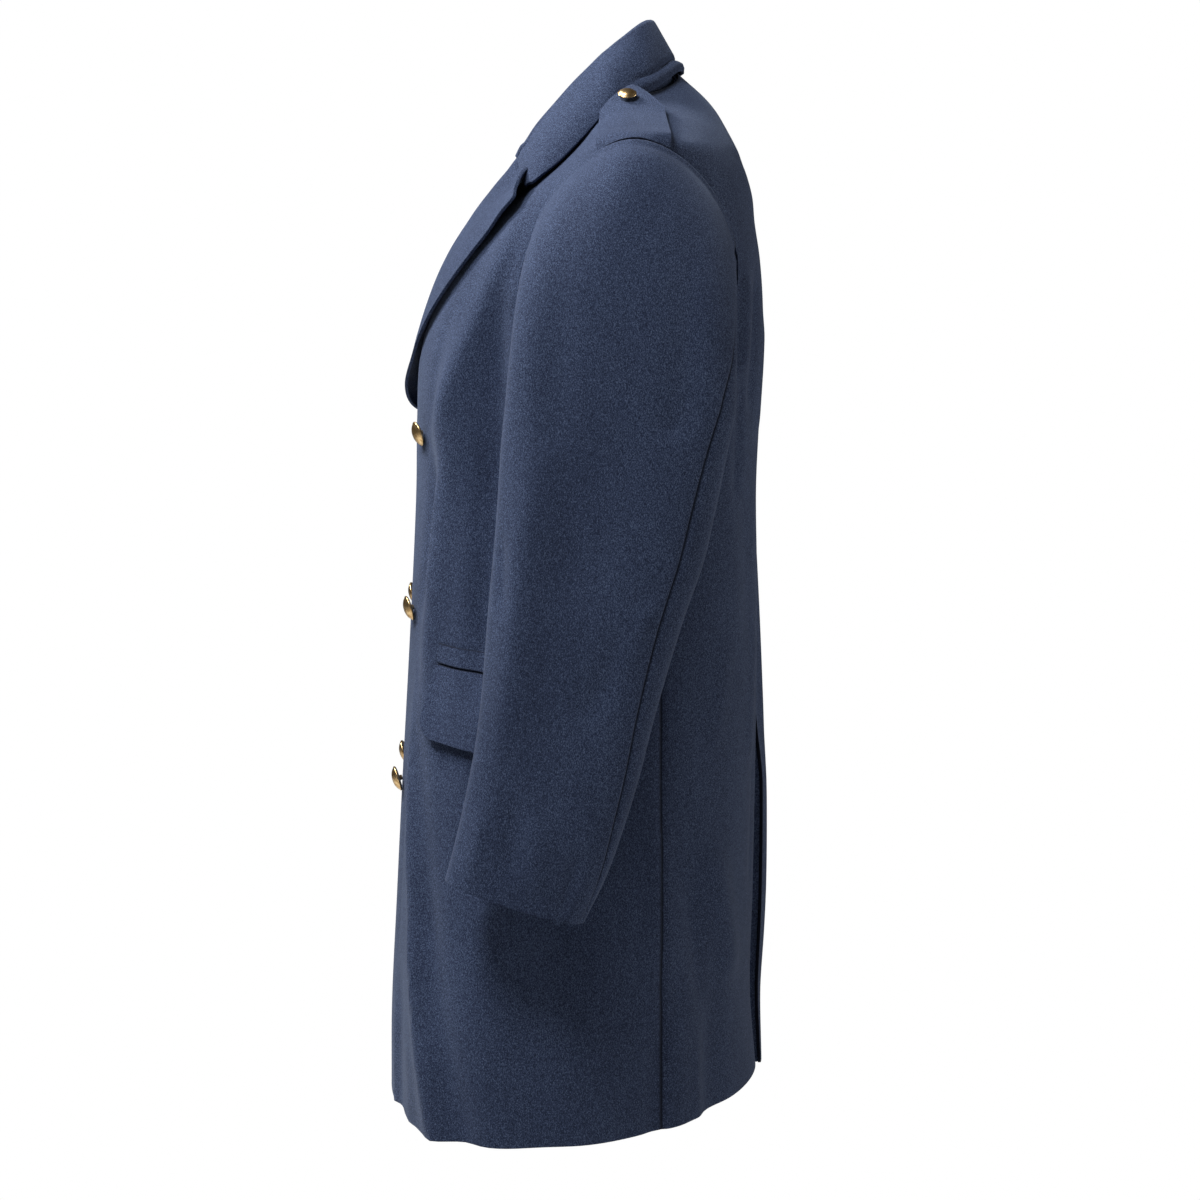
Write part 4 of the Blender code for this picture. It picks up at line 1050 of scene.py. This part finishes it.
def strap_place(along, up):
    portion = 2.0 * edged(along, STRAP_COLUMNS, STRAP_WIDTH) - 1.0
    base_y = WORN_AT[1] + STRAP_HALF_BASE * portion
    turn = np.degrees(np.arctan2(ARMHOLE["high"] - ARMHOLE["widest"],
                                 base_y - ARMHOLE["middle"]))
    base = armhole_point(turn) + STRAP_BASE_PLACE
    tip_x = lerp(STRAP_TIP_X, STRAP_SHOULDER_X, np.abs(portion) ** STRAP_POINT_POWER)
    x = lerp(base[..., 0], tip_x, edged(up, STRAP_ROWS, STRAP_LENGTH))
    widening = (x - STRAP_SHOULDER_X) / (STRAP_BASE_X - STRAP_SHOULDER_X)
    half = lerp(STRAP_HALF_TIP, STRAP_HALF_BASE, smooth(widening))
    point = strap_underside(x, WORN_AT[1] + half * portion)
    return lerp(base, point, smooth(up / STRAP_BASE_BLEND)[..., None])


for side in ("left", "right"):
    add_cloth(f"shoulder_strap_{side}", STRAP_COLUMNS, STRAP_ROWS, strap_place, STRAP_CUT,
              "laid", side, -STRAP_CLOTH, sewn=("foot",), rests_on=[f"front_{side}_cloth"])

# ---- Pockets -------------------------------------------------------------------------
# A slanting hip pocket on each side: a narrow jet above the mouth, and a flap with round
# corners that hangs from it.
POCKET_TURN = 52.5
POCKET_LENGTH = 0.160
POCKET_HEIGHT = 0.4415
POCKET_SLOPE = -0.13
POCKET_RADIUS = 0.22
POCKET_RIM = 0.5          # this wide, so that the end columns are close together
JET_HEIGHT = 0.018
JET_CLOTH = 0.0020
FLAP_HEIGHT = 0.067
MOUTH_GAP = 0.0012        # the pocket's mouth, between the jet and the flap
FLAP_CORNER = 0.020
FLAP_STAND = 0.0040
JET_COLUMNS, JET_ROWS = 60, 10
FLAP_COLUMNS, FLAP_ROWS = 64, 28
FLAP_RIM = 0.12
FLAP_LEAN = 0.003         # the flap's front end slants a little forward
JET_CUT, FLAP_CUT = (0.16, 0.018), (0.16, 0.067)


def on_front(along, down, lift, side):
    """Points by their lengths along and down the pocket."""
    height = POCKET_HEIGHT + POCKET_SLOPE * along - down
    near = torso_ring(POCKET_TURN + np.degrees(along / POCKET_RADIUS), height)
    turn = POCKET_TURN + np.degrees(along / np.linalg.norm(near[..., :2], axis=-1))
    return off_front(turn, height, side, lift[..., None])[0]


def jet_place(side, along, up):
    length = POCKET_LENGTH * edged(along, JET_COLUMNS, POCKET_RIM)
    return on_front(length, JET_HEIGHT * (1.0 - up), np.full_like(up, LYING_GAP), side)


def flap_place(side, along, up):
    length = POCKET_LENGTH * edged(along, FLAP_COLUMNS, POCKET_RIM)
    share = edged(1.0 - up, FLAP_ROWS, FLAP_RIM)
    lean = FLAP_LEAN * smooth(1.0 - length / POCKET_LENGTH * 2.5) * share
    near_end = np.minimum(length, POCKET_LENGTH - length)
    corner = np.maximum(FLAP_CORNER - near_end, 0.0)
    rounding = FLAP_CORNER - np.sqrt(FLAP_CORNER ** 2 - corner ** 2)
    down = JET_HEIGHT + MOUTH_GAP + (FLAP_HEIGHT - rounding) * share
    return on_front(length - lean, down, LYING_GAP + FLAP_STAND * share, side)


for side in ("left", "right"):
    add_cloth(f"pocket_jet_{side}", JET_COLUMNS, JET_ROWS, partial(jet_place, side),
              JET_CUT, "laid", side, -JET_CLOTH, sewn=("start", "end", "foot", "head"),
              rests_on=[f"front_{side}_cloth"])
    add_cloth(f"pocket_flap_{side}", FLAP_COLUMNS, FLAP_ROWS, partial(flap_place, side),
              FLAP_CUT, "hung", side, -CLOTH, sewn=("head",),
              rests_on=[f"front_{side}_cloth"])

# ---- Buttons -------------------------------------------------------------------------
# Pressed brass shells with a gilt finish, closed on to a back with a wire shank. They droop
# on their shanks, which pass through the left front and are sewn with waxed thread.
BUTTON_X = {"left": 0.096, "right": -0.076}
BUTTON_HEIGHTS = [0.636, 0.469, 0.305]
BUTTON_DROOP = 20.0
BUTTON_SEAT = 0.0012      # the shank's foot stands this far off the cloth
BUTTON_RADIUS = 0.0122
# Radius and height of a button's outline, as shares of the radius, from the shank up.
BUTTON_PROFILE = [
    (0, 0.02), (0.16, 0.02), (0.2, 0.06), (0.2, 0.2), (0.24, 0.23),                # shank
    (0.6, 0.24), (0.84, 0.27), (0.95, 0.32), (0.99, 0.38), (0.99, 0.44),           # back
    (0.95, 0.49), (0.9, 0.5), (0.87, 0.52), (0.84, 0.56), (0.74, 0.64), (0.6, 0.72),
    (0.44, 0.78), (0.25, 0.82), (0.1, 0.835), (0, 0.838),                          # dome
]
BUTTON_SIDES = 48
GILT_DULL, GILT_BRIGHT = (0.46, 0.27, 0.10, 1.0), (0.92, 0.68, 0.36, 1.0)
GILT_ROUGHNESS = {"To Min": 0.42, "To Max": 0.20}
GILT_CLOUDS = {"Scale": 260.0, "Detail": 4.0}
GILT_RELIEF = 0.12, 0.0003


def make_gilt():
    """Gilt brass in soft clouds of dull and bright, smoother where it is bright."""
    gilt, tree, place = start_material("gilt_brass", {"Metallic": 1.0})
    cloudy = add_node(tree, "ShaderNodeTexNoise", {"Vector": place, **GILT_CLOUDS})
    clouds = cloudy.outputs["Fac"]
    ramp = add_ramp(tree, clouds, (0.30, GILT_DULL), (0.68, GILT_BRIGHT))
    dulled = add_node(tree, "ShaderNodeMapRange", {"Value": clouds, **GILT_ROUGHNESS})
    set_shader(tree, {"Base Color": ramp.outputs["Color"],
                      "Roughness": dulled.outputs["Result"]})
    add_relief(tree, clouds, *GILT_RELIEF)
    return gilt


gilt = make_gilt()


def add_button(node, place, normal, radius):
    """A plain domed button, turned about its own axis and set on the cloth."""
    outline = bmesh.new()
    points = [outline.verts.new((radius * r, 0.0, radius * h)) for r, h in BUTTON_PROFILE]
    for low, high in zip(points, points[1:]):
        outline.edges.new((low, high))
    bmesh.ops.spin(outline, geom=outline.verts[:] + outline.edges[:], cent=(0, 0, 0),
                   axis=(0, 0, 1), angle=math.tau, steps=BUTTON_SIDES, use_merge=True)
    bmesh.ops.remove_doubles(outline, verts=outline.verts, dist=0.00001)
    bmesh.ops.recalc_face_normals(outline, faces=outline.faces)
    turned = Vector(normal).to_track_quat("Z", "Y").to_matrix().to_4x4()
    outline.transform(Matrix.Translation(Vector(place - WORN_AT)) @ turned)
    button = add_shape(node + "_gilt", outline, gilt)
    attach(button, "root")
    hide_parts(node)


def front_button_seat(column, height):
    """Where a button is sewn to the left front, and the way that it faces."""
    level = np.array([height])
    turn = turn_at_x(np.array([BUTTON_X[column]]), level)
    seat, normal = off_front(turn, level, "left", BUTTON_SEAT)
    across = np.cross(normal[0], (0.0, 0.0, 1.0))
    droop = Matrix.Rotation(math.radians(-BUTTON_DROOP), 3, Vector(across).normalized())
    return seat[0], droop @ Vector(normal[0])


for column in BUTTON_X:
    for row, height in enumerate(BUTTON_HEIGHTS, start=1):
        seat, facing = front_button_seat(column, height)
        add_button(f"button_{column}_{row}", seat, facing, BUTTON_RADIUS)

# ---- Buttonholes ---------------------------------------------------------------------
# A slit near the left front's free edge under each button of the second column, worked
# round with waxed twist, which stands up in a narrow rim.
BUTTONHOLE_HALF = 0.0150   # from the middle of the hole to its end
BUTTONHOLE_WIDE = 0.0016
BUTTONHOLE_OUT, BUTTONHOLE_BELOW = 0.003, 0.004   # from the middle of its button
BUTTONHOLE_POINTS = 48
THREAD_RADIUS, THREAD_LIFT = 0.0005, 0.0003
TWIST_DARK, TWIST_PALE = (0.006, 0.009, 0.022, 1.0), (0.026, 0.036, 0.075, 1.0)
TWIST_WINDING = {"Scale": 420.0, "Distortion": 1.5}
TWIST_RELIEF = 0.4, 0.0002


def make_twist():
    """Waxed buttonhole twist, a little darker than the cloth, wound across the line."""
    twist, tree, place = start_material("buttonhole_twist", {"Roughness": 0.55})
    wound = add_node(tree, "ShaderNodeTexWave", {"Vector": place, **TWIST_WINDING},
                     bands_direction="X")
    ramp = add_ramp(tree, wound.outputs["Fac"], (0.0, TWIST_DARK), (1.0, TWIST_PALE))
    set_shader(tree, {"Base Color": ramp.outputs["Color"]})
    add_relief(tree, wound.outputs["Fac"], *TWIST_RELIEF)
    return twist


twist = make_twist()


def add_buttonhole(name, height):
    """A hole worked in twist round its slit, in the left front's edge under a button."""
    sine, cosine = sine_cosine(np.arange(0.0, 360.0, 360.0 / BUTTONHOLE_POINTS))
    x = BUTTON_X["right"] - BUTTONHOLE_OUT + BUTTONHOLE_HALF * cosine
    level = (height - BUTTONHOLE_BELOW
             + BUTTONHOLE_WIDE * np.copysign(np.sqrt(np.abs(sine)), sine))
    turn = turn_at_x(x, level)
    middle, _ = off_front(turn, level, "left", THREAD_LIFT)
    line = bpy.data.curves.new(name, "CURVE")
    line.dimensions = "3D"
    line.bevel_depth = THREAD_RADIUS
    line.bevel_resolution = 2
    thread = line.splines.new("POLY")
    thread.points.add(len(middle) - 1)
    for point, place in zip(thread.points, middle - WORN_AT):
        point.co = (*place, 1.0)
    thread.use_cyclic_u = True
    drawn = add_object(name + "_line", line)
    bpy.context.view_layer.update()
    mesh = bpy.data.meshes.new_from_object(drawn)
    bpy.data.objects.remove(drawn)
    mesh.name = name
    mesh.materials.clear()
    mesh.materials.append(twist)
    hole = add_object(name, mesh)
    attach(hole, "root")


for row, height in enumerate(BUTTON_HEIGHTS, start=1):
    add_buttonhole(f"buttonhole_{row}", height)

# ---- Strap buttons -------------------------------------------------------------------
# A smaller button of the same kind near the point of each strap. It is sewn through the
# strap and the collar's edge, and sits square to the strap's slope.
STRAP_BUTTON_RADIUS = 0.0090
STRAP_BUTTON_X, STRAP_BUTTON_Y = 0.1220, 0.0350
STRAP_STEP = 0.004        # a step along the strap, which gives its slope there

for side, mirror in (("left", 1.0), ("right", -1.0)):
    near_x = np.array([STRAP_BUTTON_X, STRAP_BUTTON_X + STRAP_STEP])
    seat, beyond = strap_underside(near_x, np.full(2, STRAP_BUTTON_Y))
    facing = Vector((-(beyond - seat)[2], 0.0, (beyond - seat)[0])).normalized()
    seat = seat + np.array(facing) * (STRAP_CLOTH + LYING_GAP)
    seat[0] *= mirror
    facing.x *= mirror
    add_button(f"strap_button_{side}", seat, facing, STRAP_BUTTON_RADIUS)

# ---- The studio ----------------------------------------------------------------------
# A white sweep with a soft light in front of the coat and above it, one beside it, a
# weaker one behind it, and a little light from all round.
LIGHTS = [
    # name, place, what it points at, size, power and colour
    ("front_light", (-0.24, -1.36, 1.32), (0.0, 0.0, -0.1), 0.6, 54.0, (1.0, 0.98, 0.95)),
    ("side_light", (1.25, -1.00, 1.60), (0.1, 0.0, -0.1), 0.8, 49.0, (1.0, 1.0, 1.0)),
    ("back_light", (-0.10, 1.90, 0.45), (0.0, 0.0, -0.2), 0.8, 13.0, (1.0, 0.98, 0.95)),
]
FLOOR_DROP = 0.45
FLOOR_SIZE = 30.0
WHITE_FINISH = {"Base Color": (0.9, 0.9, 0.9, 1.0), "Roughness": 0.9,
                "Emission Color": (1.0, 1.0, 1.0, 1.0), "Emission Strength": 0.03}
AIR = {"Color": (1.0, 0.93, 0.84, 1.0), "Strength": 0.050}
PURE_WHITE = {"Color": (1.0, 1.0, 1.0, 1.0), "Strength": 1.0}

for name, place, aim, size, power, colour in LIGHTS:
    lamp = bpy.data.lights.new(name, "AREA")
    lamp.shape = "DISK"
    lamp.size, lamp.energy, lamp.color = size, power, colour
    light = add_object(name, lamp)
    light.location = place
    light.rotation_euler = (Vector(aim) - Vector(place)).to_track_quat("-Z", "Y").to_euler()


def show_white(tree, plain, kind, end):
    """What the camera sees straight on is pure white; the plain shader lights the coat."""
    seen = add_node(tree, kind, PURE_WHITE)
    path = add_node(tree, "ShaderNodeLightPath")
    either = add_node(tree, "ShaderNodeMixShader", {
        0: path.outputs["Is Camera Ray"], 1: plain.outputs[0], 2: seen.outputs[0]})
    set_inputs(tree, end, {"Surface": either.outputs[0]})


white, white_tree, _ = start_material("studio_white", WHITE_FINISH)
show_white(white_tree, white_tree.nodes["Principled BSDF"], "ShaderNodeEmission",
           white_tree.nodes["Material Output"])
floor_shape = bmesh.new()
bmesh.ops.create_grid(floor_shape, x_segments=2, y_segments=2, size=FLOOR_SIZE)
bmesh.ops.translate(floor_shape, verts=floor_shape.verts,
                    vec=(0.0, 0.0, cad_box[0].z - FLOOR_DROP))
add_shape("studio_floor", floor_shape, white)

world = bpy.data.worlds.new("studio_air")
world.use_nodes = True
sky = world.node_tree.nodes["Background"]
set_inputs(world.node_tree, sky, AIR)
show_white(world.node_tree, sky, "ShaderNodeBackground",
           world.node_tree.nodes["World Output"])
bpy.context.scene.world = world
bpy.context.scene.view_settings.view_transform = "Standard"
